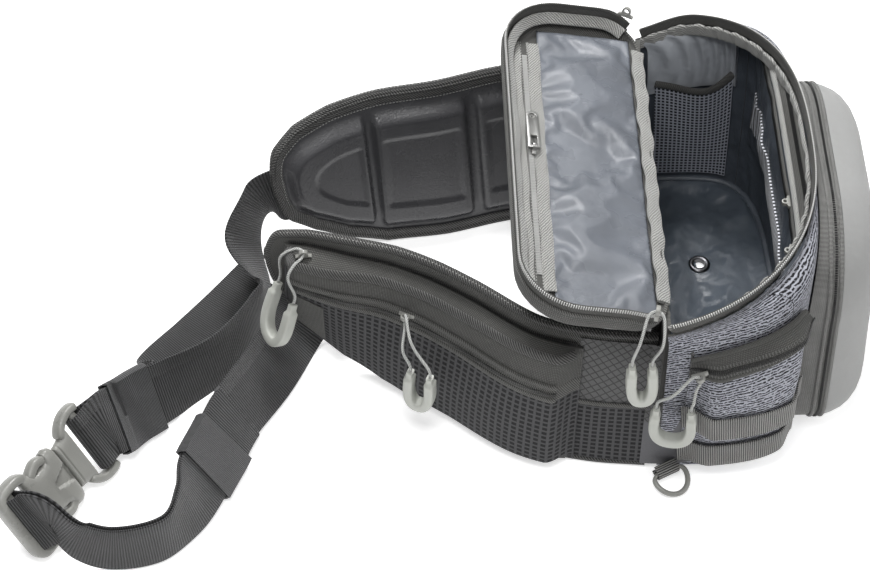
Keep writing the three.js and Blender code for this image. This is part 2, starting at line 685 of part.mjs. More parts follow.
// A frame on a surface: u along, w across, n away from it
function frameAt(origin, along, away) {
  const u = along.clone().normalize();
  const w = away.clone().cross(u).normalize();
  const n = u.clone().cross(w).normalize();
  return (a, b, c) => origin.clone().addScaledVector(u, a).addScaledVector(w, b).addScaledVector(n, c);
}
const PULLER_PLACES = [
  { name: "inner_puller_near", turn: -0.17, k: 0.82 },
  { name: "inner_puller_far", turn: -0.05, k: 0.9 },
];
for (const { name, turn, k } of PULLER_PLACES) {
  const p = frontPocket(turn, k, 1.9);
  const along = frontPocket(turn + 0.03, k, 1.9).sub(p);
  const away = p.clone().sub(frontPocket(turn, k, 0));
  const place = frameAt(p, along, away);
  const body = sliderBody(10, 6, 3, 1.2);
  add(name, moved(body.geometry, (u, n, w) => place(u, w, n)), 0xb5b5b2, 0.3, 0.9);
}

// Buckle frame: along runs from the right strap's bar to the left strap's bar
const along = vec(-0.51, -0.86, 0).normalize();
const across = vec(0.53, -0.15, -0.83).addScaledVector(along, 0.141).normalize();
const BUCKLE = { centre: vec(-489, -161.5, 30.2), along, across, normal: along.clone().cross(across).normalize() };
const buckleAt = (l, w, n) =>
  BUCKLE.centre.clone().addScaledVector(along, l).addScaledVector(across, w).addScaledVector(BUCKLE.normal, n);
const upright = across.clone().negate();

// A webbing run through rows of a lower edge (x, y, z) and a lean (lx, ly, lz) up its width
const row = (x, y, z, lx, ly, lz) => {
  const w = vec(lx, ly, lz).normalize();
  return { c: vec(x, y, z).addScaledVector(w, WEBBING / 2), w };
};
function run(rows, count) {
  const line = new THREE.CatmullRomCurve3(rows.map((r) => r.c), false, "centripetal");
  const lean = new THREE.CatmullRomCurve3(rows.map((r) => r.w), false, "centripetal");
  return steps(count).map((t) => ({ c: line.getPoint(t), w: lean.getPoint(t).normalize() }));
}
function withNormals(stations) {
  const last = stations.length - 1;
  return stations.map((s, i) => {
    const t = stations[Math.min(last, i + 1)].c.clone().sub(stations[Math.max(0, i - 1)].c).normalize();
    const w = s.w.clone().addScaledVector(t, -s.w.dot(t)).normalize();
    return { ...s, t, w, n: t.clone().cross(w).normalize() };
  });
}
function webbing(stations, half = WEBBING / 2) {
  const rings = withNormals(stations).map(({ c, w, n, thick = WEBBING_THICK }) => {
    const corner = (a, b) => c.clone().addScaledVector(w, a * half).addScaledVector(n, (b * thick) / 2);
    return [corner(-1, -1), corner(1, -1), corner(1, 1), corner(-1, 1)];
  });
  return loft(rings);
}
// The second layer of a run that turned round a bar; it starts wide at the bar and closes up
function secondLayer(stations, side, from, to) {
  const bar = stations[stations.length - 1].c;
  const out = [];
  const all = withNormals(stations);
  for (let i = from; i >= to; i--) {
    const near = 1 - smooth(2, 15, all[i].c.distanceTo(bar));
    const gap = mix(LAYER_GAP, 2 * TURN_RADIUS, near);
    out.push({ c: all[i].c.clone().addScaledVector(all[i].n, side * gap), w: all[i].w });
  }
  return out;
}
// A sleeve of elastic round both layers of a run
function sleeve(stations, side, from, to) {
  const all = withNormals(stations).slice(from, to + 1);
  const ring = (s, grow) => {
    const c = s.c.clone().addScaledVector(s.n, (side * LAYER_GAP) / 2);
    const a = WEBBING / 2 + 1 + grow;
    const b = LAYER_GAP / 2 + WEBBING_THICK / 2 + 1.6 + grow;
    return [[-1, -1], [1, -1], [1, 1], [-1, 1]].map(([i, j]) =>
      c.clone().addScaledVector(s.w, i * a).addScaledVector(s.n, j * b)
    );
  };
  return loft([...all.map((s) => ring(s, 1.1)), ...all.map((s) => ring(s, 0)).reverse()], true);
}
const nearest = (stations, x, y) => {
  let best = 0;
  stations.forEach((s, i) => {
    const d = (k) => Math.hypot(stations[k].c.x - x, stations[k].c.y - y);
    if (d(i) < d(best)) best = i;
  });
  return best;
};

// Left strap: from inside the left wing tip, along the floor, round the buckle and back
const wingRow = (wing, u, z, o) => {
  const { low, high } = { low: wing.at(u, 0, 0).z, high: wing.at(u, 1, 0).z };
  const v = (z - low) / (high - low);
  const c = wing.at(u, v, o);
  return { c, w: wing.at(u, v + 0.05, o).sub(c).normalize() };
};
const LEFT_ROWS = [
  wingRow(WING.left, 0.74, 78, -PAD - 3),
  wingRow(WING.left, 0.8, 78, -PAD - 4.5),
  { c: vec(-293, 6.5, 57), w: vec(-0.23, 0.2, 0.96).normalize() },
  row(-301, -22, 2.2, -31, 17, 35),
  row(-322, -66, 2.2, -31, 17, 35),
  row(-349, -110, 4.4, -29, 11, 38),
  row(-360, -136, 4.4, -29, 10, 38),
  row(-372, -162, 4.4, -28, 8, 39),
  row(-388, -187, 2.2, -14, 2, 46),
  row(-411, -209, 1.2, 0, 0, 50),
  row(-447, -217, 1.2, 0, 0, 50),
  { c: vec(-469, -213, 32), w: vec(-0.22, 0.1, 0.97).normalize() },
  { c: buckleAt(BAR_AT - TURN_RADIUS, 0.5, 24), w: upright },
  { c: buckleAt(BAR_AT - TURN_RADIUS, 0, 10), w: upright },
  { c: buckleAt(BAR_AT - TURN_RADIUS, 0, 1), w: upright },
];
const leftMain = run(LEFT_ROWS, 50);
const leftTurn = steps(5).map((k) => {
  const a = Math.PI * k;
  return { c: buckleAt(BAR_AT - TURN_RADIUS * Math.cos(a), 0, -TURN_RADIUS * Math.sin(a)), w: upright };
});
const leftEnd = nearest(leftMain, -361, -102);
const leftTail = secondLayer(leftMain, -1, leftMain.length - 2, leftEnd);
const folded = leftTail.length - 3;
leftTail.forEach((s, i) => {
  if (i > folded) s.thick = 5;
  if (i > folded) s.c.addScaledVector(withNormals(leftMain)[leftEnd].n, -1.8);
});
add("strap_left", webbing([...leftMain, ...leftTurn, ...leftTail]), WEB);
const leftKeep = [nearest(leftMain, -370, -124), nearest(leftMain, -382, -158)];
add("keeper_left", sleeve(leftMain, -1, ...leftKeep), 0x58585a);

// Right strap: from outside the right wing tip, down to the floor, round the buckle, and a loose tail
const RIGHT_ROWS = [
  wingRow(WING.right, 0.9, 70, 2.6),
  wingRow(WING.right, 0.97, 70, 2.6),
  { c: vec(-347, 70, 64), w: vec(-0.2, -0.2, 0.96).normalize() },
  row(-347, 62, 30, -24, -28, 32),
  row(-342, 25, 9, -4, -31, 39),
  row(-345, -6, 4, -8, -12, 48),
  row(-365, -49, 4, -15, -3, 48),
  row(-395, -77, 4.4, -28, 2, 41),
  row(-418, -97, 7, -31, 6, 39),
  row(-430, -107, 7.2, -31, 7, 39),
  { c: buckleAt(-BAR_AT - 15, 0, TURN_RADIUS + 1), w: upright },
  { c: buckleAt(-BAR_AT - 7, 0, TURN_RADIUS), w: upright },
  { c: buckleAt(-BAR_AT - 1, 0, TURN_RADIUS), w: upright },
];
const rightMain = run(RIGHT_ROWS, 44);
const rightTurn = steps(5).map((k) => {
  const a = Math.PI * k;
  return { c: buckleAt(-BAR_AT + TURN_RADIUS * Math.sin(a), 0, TURN_RADIUS * Math.cos(a)), w: upright };
});
const rightKeep = [nearest(rightMain, -424, -84), nearest(rightMain, -450, -108)];
const rightBack = secondLayer(rightMain, 1, rightMain.length - 2, rightKeep[0] - 1);
const TAIL_ROWS = [
  rightBack[rightBack.length - 1],
  row(-400, -73, 2, -36, 16, 26),
  row(-373, -37, 1.8, -38, 26, 10),
  row(-349, -3, 1.4, -39, 30, 3),
  row(-327, 27, 1.3, -39, 31, 1),
];
add("strap_right", webbing([...rightMain, ...rightTurn, ...rightBack, ...run(TAIL_ROWS, 14).slice(1)]), WEB);
add("keeper_right", sleeve(rightMain, 1, ...rightKeep), 0x58585a);

// Side release buckle: socket with side windows, plug with two prongs, each with an end bar
const plate = (outline, holes, thick) => {
  const shape = new THREE.Shape(outline.map(([l, w]) => new THREE.Vector2(l, w)));
  for (const h of holes) shape.holes.push(new THREE.Path(h.map(([l, w]) => new THREE.Vector2(l, w))));
  const g = new THREE.ExtrudeGeometry(shape, { depth: thick, bevelEnabled: false });
  g.translate(0, 0, -thick / 2);
  return g;
};
const mirrored = (half) => [...half, ...half.map(([l, w]) => [l, -w]).reverse()];
const HALF = BUCKLE_WIDTH / 2;
const slot = (a, b) => [[a, -28.6], [b, -28.6], [b, 28.6], [a, 28.6]];
const inBuckle = (g) => moved(g, buckleAt);
const socketBlank = plate(
  mirrored([[-10, 19], [-4, 26], [4, 29], [14, 25], [23, 24], [28, HALF], [BUCKLE_HALF - 4, HALF], [BUCKLE_HALF - 3, 30]]),
  [slot(29, 37)],
  BUCKLE_THICK
);
const barRelief = (end) => {
  const cut = plate([[28 * end, -28.6], [50 * end, -28.6], [50 * end, 28.6], [28 * end, 28.6]], [], 8);
  return [1, -1].map((side) => manifold(cut.clone().translate(0, 0, side * (BAR_RADIUS + 4))));
};
const cavity = plate(mirrored([[-20, 40], [6, 40], [16, 17]]), [], 7);
const relieved = (body, end) => barRelief(end).reduce((a, b) => a.subtract(b), body);
const socketBody = relieved(manifold(socketBlank).subtract(manifold(cavity)), 1);
add("buckle_socket", inBuckle(fromManifold(socketBody)), HARD, 0.5);
const plugBlank = plate(
  mirrored([[-BUCKLE_HALF + 3, 30], [-BUCKLE_HALF + 4, HALF], [-28, HALF], [-23, 22], [-10.8, 19]]),
  [slot(-37, -28)],
  10
);
const prongs = plate(
  [
    [-12, 18], [-3, 24], [4, 27], [5, 20], [2, 13], [-9, 10], [-9, 4], [8, 3], [8, -3], [-9, -4], [-9, -10],
    [2, -13], [5, -20], [4, -27], [-3, -24], [-12, -18],
  ],
  [],
  6
);
add("buckle_plug", inBuckle(fromManifold(relieved(manifold(plugBlank), -1).add(manifold(prongs)))), HARD, 0.5);

// Ring and its webbing loop at the left back corner
const RING = { bar: vec(-46, -150.6, 8.4), rod: 2.3, span: 26, depth: 20, loop: 18, droop: 0.25 };
const ringOut = vec(0.45, -0.89, -RING.droop).normalize();
const ringBar = vec(0.89, 0.45, 0).normalize();
const ringUp = ringBar.clone().cross(ringOut).normalize();
if (ringUp.z < 0) ringUp.negate();
const ringAt = (b, o, n) =>
  RING.bar.clone().addScaledVector(ringBar, b).addScaledVector(ringOut, o).addScaledVector(ringUp, n);
const ringPath = [];
const ringHalf = RING.span / 2;
for (const b of [-ringHalf + 2, -4, 4, ringHalf - 2]) ringPath.push([b, 0]);
for (const k of steps(10, 0, 1)) {
  const a = Math.PI * k;
  ringPath.push([ringHalf * Math.cos(a) ** 1, 5 + (RING.depth - 5) * Math.sin(a)]);
}
const ringRings = ringPath.map(([b, o], i) => {
  const n = ringPath.length;
  const [b0, o0] = ringPath[(i + n - 1) % n];
  const [b1, o1] = ringPath[(i + 1) % n];
  const d = new THREE.Vector2(b1 - b0, o1 - o0).normalize();
  return Array.from({ length: 8 }, (_, k) => {
    const a = (2 * Math.PI * k) / 8;
    const side = RING.rod * Math.cos(a);
    return ringAt(b + d.y * side, o - d.x * side, RING.rod * Math.sin(a));
  });
});
add("d_ring_left", loft(ringRings, true), HARD, 0.5);
const loopRadius = RING.rod + 1.5;
const loopStations = [{ c: ringAt(0, -4.8, loopRadius), w: ringBar }];
for (const k of steps(8)) {
  const a = Math.PI * k;
  loopStations.push({ c: ringAt(0, loopRadius * Math.sin(a), loopRadius * Math.cos(a)), w: ringBar });
}
loopStations.push({ c: ringAt(0, -4.8, -loopRadius), w: ringBar });
loopStations.forEach((s) => (s.thick = 1.4));
add("d_ring_loop_left", webbing(loopStations, RING.loop / 2), WEB);

// Zip pulls: slider, cord through its eye and a U handle on the cord's two ends
const EYE = CORD / 2 + 1;
function zipPull(names, origin, alongZip, away, arms, base, bulge) {
  const body = sliderBody(12, 8, 3, EYE);
  const place = frameAt(origin, alongZip, away);
  add(names.slider, moved(body.geometry, (u, n, w) => place(u, w, n)), 0x9d9f9c, 0.4, 0.3);
  if (!names.cord) return;
  const eye = place(0, 0, body.eyeHeight);
  const side = place(0, 1, 0).sub(place(0, 0, 0));
  const [first, second] = arms;
  const flip = first.clone().sub(second).dot(side) < 0 ? -1 : 1;
  const middle = first.clone().add(second).multiplyScalar(0.5);
  const down = base.clone().sub(middle).normalize();
  const reach = second.clone().sub(first);
  const end = (p, k) => p.clone().addScaledVector(down, k);
  const cordLine = new THREE.CatmullRomCurve3([
    end(first, -0.8),
    end(first, -6),
    first.clone().lerp(eye, 0.6).add(bulge).addScaledVector(side, flip * 4.5),
    eye.clone().addScaledVector(side, flip * 3.6),
    eye,
    eye.clone().addScaledVector(side, -flip * 3.6),
    second.clone().lerp(eye, 0.6).add(bulge).addScaledVector(side, -flip * 4.5),
    end(second, -6),
    end(second, -0.8),
  ]);
  const cordSteps = [0, 1, 1.5, 2, 2.5, 3, 3.4, 4, 4.6, 5, 5.5, 6, 6.5, 7, 8].map((k) => k / 8);
  add(names.cord, rod(cordLine, CORD / 2, cordSteps), PULL, 0.8);
  const length = base.clone().sub(middle).length();
  const handleLine = new THREE.CatmullRomCurve3([
    first,
    end(first, length * 0.4),
    end(first, length * 0.8).addScaledVector(reach, 0.04),
    end(first, length).addScaledVector(reach, 0.25),
    end(second, length).addScaledVector(reach, -0.25),
    end(second, length * 0.8).addScaledVector(reach, -0.04),
    end(second, length * 0.4),
    second,
  ]);
  add(names.handle, rod(handleLine, 2.4, [0, 1, 2, 2.5, 3, 4, 4.5, 5, 6, 7].map((k) => k / 7)), PULL, 0.6);
}
const none = vec(0, 0, 0);
zipPull(
  { slider: "wing_top_slider", cord: "wing_top_cord", handle: "wing_top_handle" },
  WING.left.at(0.87, 0.9, 12).add(vec(0, 0, -0.3)),
  vec(-0.95, -0.05, 0),
  vec(-0.1, -0.15, 1),
  [vec(-329, -30, 88), vec(-318, -48, 84)],
  vec(-336, -57, 52),
  vec(-5, -1, 7)
);
zipPull(
  { slider: "wing_side_slider", cord: "wing_side_cord", handle: "wing_side_handle" },
  WING.left.at(0.54, 0.72, pocketRise(0.54, 0.72) + 3.3),
  vec(-0.9, 0.4, 0),
  vec(-0.45, -0.85, 0.2),
  [vec(-233, -104, 74), vec(-219, -110, 74)],
  vec(-227, -110, 38),
  vec(-3, -6, 2)
);
zipPull(
  { slider: "main_slider_left", cord: "main_pull_cord", handle: "main_pull_handle" },
  lidPoint(14, -142, gussetHeight(14) + TAPE_HEIGHT + 2.25),
  vec(-0.25, -1, -0.2),
  vec(0, -0.3, 1),
  [vec(-80, -153, 140), vec(-66, -153, 140)],
  vec(-71, -153, 98),
  vec(0, -8, 5)
);
zipPull(
  { slider: "main_slider_right" },
  lidPoint(14, 142, gussetHeight(14) + TAPE_HEIGHT + 2.25),
  vec(-1, 0.5, 0.1),
  vec(0, 0.3, 1),
  [none, none],
  none,
  none
);
const sideZipAt = sideBase(-1);
zipPull(
  { slider: "side_slider_left", cord: "side_pull_cord", handle: "side_pull_handle" },
  sideZipAt(-32, sideTop(-32) + 8, 9),
  vec(1, 0, 0.42),
  vec(0, -1, 0.1),
  [vec(-60, -156, 94), vec(-36, -160, 94)],
  vec(-48, -162, 60),
  vec(-2, -6, 2)
);

export default group;
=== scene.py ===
# %% [markdown]
# # A hip pack, dressed over its imported solids
# The solids say where every piece of the bag is. This lesson rebuilds the soft pieces over them as
# fine cloth sheets, tapes and tubes, and gives the hard pieces better edges and finishes.
# First the imported frame is loaded.

# %% Load the frame
import bpy
import bmesh
import math
import numpy as np
from mathutils import Matrix, Vector


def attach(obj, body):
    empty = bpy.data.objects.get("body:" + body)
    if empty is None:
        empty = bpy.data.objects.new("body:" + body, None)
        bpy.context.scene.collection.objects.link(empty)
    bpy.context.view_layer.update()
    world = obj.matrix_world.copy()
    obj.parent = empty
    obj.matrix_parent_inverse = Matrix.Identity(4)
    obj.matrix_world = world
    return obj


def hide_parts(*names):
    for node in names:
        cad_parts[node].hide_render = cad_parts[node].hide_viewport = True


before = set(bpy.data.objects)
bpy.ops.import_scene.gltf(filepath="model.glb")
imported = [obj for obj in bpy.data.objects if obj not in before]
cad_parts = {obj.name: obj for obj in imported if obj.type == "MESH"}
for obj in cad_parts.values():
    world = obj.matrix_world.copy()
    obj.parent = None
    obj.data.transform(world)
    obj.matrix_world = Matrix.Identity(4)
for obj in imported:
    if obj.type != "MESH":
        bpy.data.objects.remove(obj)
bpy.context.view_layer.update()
MM = 0.001
SIDES = (("left", -1), ("right", 1))

# %% [markdown]
# ## Camera and light
# The photo looks down on the bag from its left side at about fifty degrees. The camera stands where
# the bag's known points fall on the photo's own pixels. A lamp behind the bag lights its upper edges
# and leaves the inside dark, and two weaker ones soften the shadows as on a studio table.

# %% Camera and studio
VIEW = {"azimuth": -1.55, "elevation": 51.48, "place": (-0.2428, -1.1281, 1.4611), "lens": 98.4}
WORLD_STRENGTH, AIM = 0.22, (-0.15, -0.02, 0.08)
LAMPS = [
    {"name": "key", "place": (-0.25, 0.75, 1.5), "size": 0.5, "power": 27},
    {"name": "fill", "place": (0.9, -0.6, 1.2), "size": 1.0, "power": 7},
    {"name": "front", "place": (-0.3, -0.6, 1.6), "size": 0.42, "power": 11},
]


def add(thing):
    bpy.context.scene.collection.objects.link(thing)
    return thing


def look(azimuth, elevation, place, lens):
    a, e = math.radians(azimuth), math.radians(elevation)
    back = Vector((math.sin(a) * math.cos(e), -math.cos(a) * math.cos(e), math.sin(e)))
    right = Vector((math.cos(a), math.sin(a), 0))
    turn = Matrix((right, back.cross(right), back)).transposed().to_4x4()
    data = bpy.data.cameras.new("studio_camera")
    data.lens, data.sensor_width = lens, 36
    camera = add(bpy.data.objects.new("studio_camera", data))
    camera.matrix_world = Matrix.Translation(place) @ turn
    return camera


bpy.context.scene.camera = look(**VIEW)
world = bpy.data.worlds.new("studio")
world.use_nodes = True
world.node_tree.nodes["Background"].inputs["Color"].default_value = (1, 1, 1, 1)
world.node_tree.nodes["Background"].inputs["Strength"].default_value = WORLD_STRENGTH
bpy.context.scene.world = world
bpy.context.scene.view_settings.view_transform = "Standard"
for lamp in LAMPS:
    data = bpy.data.lights.new(lamp["name"], "AREA")
    data.size, data.energy = lamp["size"], lamp["power"]
    light = add(bpy.data.objects.new(lamp["name"], data))
    aim = Vector(AIM) - Vector(lamp["place"])
    turn = aim.to_track_quat("-Z", "Y").to_matrix().to_4x4()
    light.matrix_world = Matrix.Translation(lamp["place"]) @ turn
print("lamps", len(LAMPS))

# %% [markdown]
# ## Finishes
# Every finish is a small node tree. Cloth patterns read the UV map, which all the cloth pieces
# carry in metres, so a rib or a thread has its real size on any piece. One helper adds a node and
# sets its inputs, which keeps each recipe short.

# %% Node helper
class Recipe:
    def __init__(self, name, colour, rough, metal=0.0):
        self.material = bpy.data.materials.new(name)
        self.material.use_nodes = True
        self.tree = self.material.node_tree
        self.shader = self.tree.nodes["Principled BSDF"]
        self.set("Base Color", (*colour, 1))
        self.set("Roughness", rough)
        self.set("Metallic", metal)
        self.last_bump = None

    def set(self, name, value):
        self.shader.inputs[name].default_value = value

    def node(self, kind, settings=None, **values):
        node = self.tree.nodes.new(kind)
        for key, value in (settings or {}).items():
            setattr(node, key, value)
        for key, value in values.items():
            self.feed(node, key.replace("_", " "), value)
        return node

    def feed(self, node, name, value):
        socket = node.inputs[name]
        if isinstance(value, bpy.types.NodeSocket):
            self.tree.links.new(value, socket)
        else:
            socket.default_value = value

    def place(self, scale=(1, 1, 1), turn=0.0, source="UV"):
        at = self.node("ShaderNodeTexCoord").outputs[source]
        mapping = self.node("ShaderNodeMapping", Scale=scale, Rotation=(0, 0, turn), Vector=at)
        return mapping.outputs["Vector"]

    def wave(self, vector, size, axis="X", warp=0.0):
        node = self.node("ShaderNodeTexWave", {"bands_direction": axis}, Vector=vector,
                         Scale=math.pi / 10 / size, Distortion=warp, Detail=2.0, Detail_Scale=1.5)
        return node.outputs["Fac"]

    def crossed(self, vector, size, warp=0.0):
        return self.math("MULTIPLY", self.wave(vector, size, "X", warp), self.wave(vector, size, "Y", warp))

    def noise(self, vector, scale, detail=4.0, rough=0.6):
        node = self.node("ShaderNodeTexNoise", Vector=vector, Scale=scale, Detail=detail, Roughness=rough)
        return node.outputs["Fac"]

    def cloudy(self, scale, detail, rough=0.6):
        return self.noise(self.place(source="Object"), scale, detail, rough)

    def math(self, kind, a, b=0.0):
        node = self.node("ShaderNodeMath", {"operation": kind})
        self.feed(node, 0, a)
        self.feed(node, 1, b)
        return node.outputs[0]

    def ramp(self, value, low, high, to=(0.0, 1.0)):
        node = self.node("ShaderNodeMapRange", {"clamp": True})
        ends = ("Value", "From Min", "From Max", "To Min", "To Max")
        for key, v in zip(ends, (value, low, high, *to)):
            self.feed(node, key, v)
        return node.outputs["Result"]

    def mix(self, factor, a, b):
        node = self.node("ShaderNodeMix", {"data_type": "RGBA"})
        self.feed(node, 0, factor)
        for index, value in ((6, a), (7, b)):
            self.feed(node, index, (*value, 1) if isinstance(value, tuple) else value)
        return node.outputs[2]

    def colour(self, value):
        self.feed(self.shader, "Base Color", value)

    def rough(self, value):
        self.feed(self.shader, "Roughness", value)

    def bump(self, height, depth):
        node = self.node("ShaderNodeBump", Height=height, Distance=depth, Strength=1.0)
        if self.last_bump is not None:
            self.tree.links.new(self.last_bump, node.inputs["Normal"])
        self.last_bump = node.outputs["Normal"]
        self.tree.links.new(self.last_bump, self.shader.inputs["Normal"])


def shade(colour, k):
    return tuple(min(1.0, c * k) for c in colour)


print("node helper ready")

# %% [markdown]
# ## Woven finishes
# A plain weave is two crossed waves. A twill is one wave on the slant. The ripstop adds dark lines
# on a slanted grid. The spacer mesh has rows of rectangular holes between pale bars, with painted
# shade in the holes, and the knit is rows of light yarn with short dashes of painted shade between
# them. Ribbed webbing has painted shade in its troughs and painted light on its rib tops. Noise
# breaks up the colour of each.

# %% Woven finishes
def weave(name, colour, pitch, twill=0.0, contrast=0.3, blotch=0.12, sheen=0.1):
    r = Recipe(name, colour, 0.85)
    if twill:
        threads = r.wave(r.place(turn=math.radians(twill)), pitch, "X", 0.6)
    else:
        threads = r.crossed(r.place(), pitch, 0.5)
    tone = r.ramp(r.cloudy(60, 5), 0.3, 0.7)
    base = r.mix(tone, shade(colour, 1 - blotch), shade(colour, 1 + blotch))
    r.colour(r.mix(r.ramp(threads, 0.1, 0.9), shade(colour, 1 - contrast), base))
    r.set("Sheen Weight", sheen)
    r.bump(threads, pitch * 0.35)
    r.bump(r.cloudy(45, 3), 0.0012)
    return r.material


def ripstop(name, colour, cell=0.0052):
    r = Recipe(name, colour, 0.8)
    slant = r.place(turn=math.radians(38))
    lines = r.math("MAXIMUM", *(r.ramp(r.wave(slant, cell, axis), 0.9, 0.99) for axis in "XY"))
    fine = r.crossed(slant, 0.0008)
    base = r.mix(r.ramp(r.cloudy(50, 4), 0.3, 0.7), shade(colour, 0.9), shade(colour, 1.12))
    base = r.mix(r.ramp(fine, 0.0, 0.8), shade(colour, 0.72), base)
    r.colour(r.mix(lines, base, shade(colour, 0.35)))
    r.bump(lines, 0.0004)
    r.bump(fine, 0.0002)
    return r.material


def spacer_mesh(name, colour, hole_shade, cell=(0.0058, 0.0042)):
    r = Recipe(name, colour, 0.8)
    uv = r.place()
    across = r.ramp(r.wave(uv, cell[0], "X", 0.25), 0.2, 0.42)
    down = r.ramp(r.wave(uv, cell[1], "Y", 0.25), 0.24, 0.46)
    open_cell = r.math("MULTIPLY", across, down)
    yarn = r.noise(r.place(scale=(900, 2500, 1)), 1.0, 3)
    bars = r.mix(yarn, shade(colour, 0.7), shade(colour, 1.25))
    # The open cells are painted near black: painted shade in the holes of the mesh.
    r.colour(r.mix(open_cell, bars, hole_shade))
    r.bump(r.math("SUBTRACT", 1.0, open_cell), 0.0011)
    return r.material


def bumpy_knit(name, light, dark):
    r = Recipe(name, light, 0.9)
    drift = r.node("ShaderNodeTexNoise", Vector=r.place(), Scale=190, Detail=2.0)
    moved = r.node("ShaderNodeVectorMath", {"operation": "MULTIPLY_ADD"})
    for spot, value in enumerate((drift.outputs["Color"], (0.004, 0.0042, 0), r.place())):
        r.feed(moved, spot, value)
    lines = r.ramp(r.wave(moved.outputs["Vector"], 0.0029, "Y"), 0.38, 0.6)
    breaks = r.ramp(r.noise(r.place(scale=(1.7, 1.0, 1.0)), 330, 1), 0.38, 0.5)
    shows = r.math("SUBTRACT", 1.0, r.math("MULTIPLY", lines, breaks))
    tint = r.mix(r.noise(r.place(), 420, 3), shade(light, 0.55), shade(light, 1.2))
    # Between the yarn rows, short dashes are painted near black as painted shade in the gaps.
    r.colour(r.mix(shows, dark, tint))
    r.bump(shows, 0.0016)
    return r.material


def ribbed(name, colour, pitch=0.0019):
    r = Recipe(name, colour, 0.75)
    uv = r.place()
    ribs, fine = r.wave(uv, pitch, "X", 0.35), r.wave(uv, 0.0011, "Y", 0.8)
    cloth = r.math("ADD", r.math("MULTIPLY", ribs, 0.8), r.math("MULTIPLY", fine, 0.2))
    # The rib troughs are painted nearly black as painted shade, and the rib tops lighter than the colour as
    # painted light.
    base = r.mix(r.ramp(r.cloudy(40, 4), 0.3, 0.7), shade(colour, 1.25), shade(colour, 1.7))
    r.colour(r.mix(r.ramp(cloth, 0.3, 0.62), shade(colour, 0.06), base))
    r.set("Sheen Weight", 0.15)
    r.bump(cloth, 0.0006)
    return r.material


def brushed_tape(name, colour):
    r = Recipe(name, colour, 0.9)
    fibres = r.noise(r.place(), 1500, 6, 0.75)
    slant = r.wave(r.place(turn=math.radians(50)), 0.0016, "X", 3.0)
    fuzz = r.math("ADD", r.math("MULTIPLY", fibres, 0.7), r.math("MULTIPLY", slant, 0.3))
    r.colour(r.mix(r.ramp(fuzz, 0.35, 0.65), shade(colour, 0.35), shade(colour, 1.35)))
    r.set("Sheen Weight", 0.4)
    r.bump(fuzz, 0.0009)
    return r.material


print("woven finishes ready")

# %% [markdown]
# ## Smooth finishes
# The lining is slick, with a very fine weave and soft creases in its shine. Foam, plastic, metal and
# thread share one recipe: an even colour with faint clouds and a fine grain.

# %% Smooth finishes
def slick_lining(name, colour, rough, crease=0.003, size=38):
    r = Recipe(name, colour, rough)
    fine = r.crossed(r.place(), 0.0006)
    r.colour(r.mix(r.ramp(r.cloudy(22, 3), 0.35, 0.65), shade(colour, 0.88), shade(colour, 1.1)))
    r.rough(r.ramp(r.cloudy(30, 3), 0.3, 0.7, (rough - 0.08, rough + 0.1)))
    r.bump(fine, 0.00008)
    r.bump(r.cloudy(size, 3, 0.5), crease)
    return r.material


def moulded(name, colour, rough, grain=0.00012, speck=900, metal=0.0):
    r = Recipe(name, colour, rough, metal)
    tone = r.cloudy(35, 4)
    r.colour(r.mix(r.ramp(tone, 0.3, 0.7), shade(colour, 0.93), shade(colour, 1.06)))
    r.rough(r.ramp(tone, 0.3, 0.7, (rough - 0.06, rough + 0.06)))
    r.bump(r.cloudy(speck, 3), grain)
    return r.material


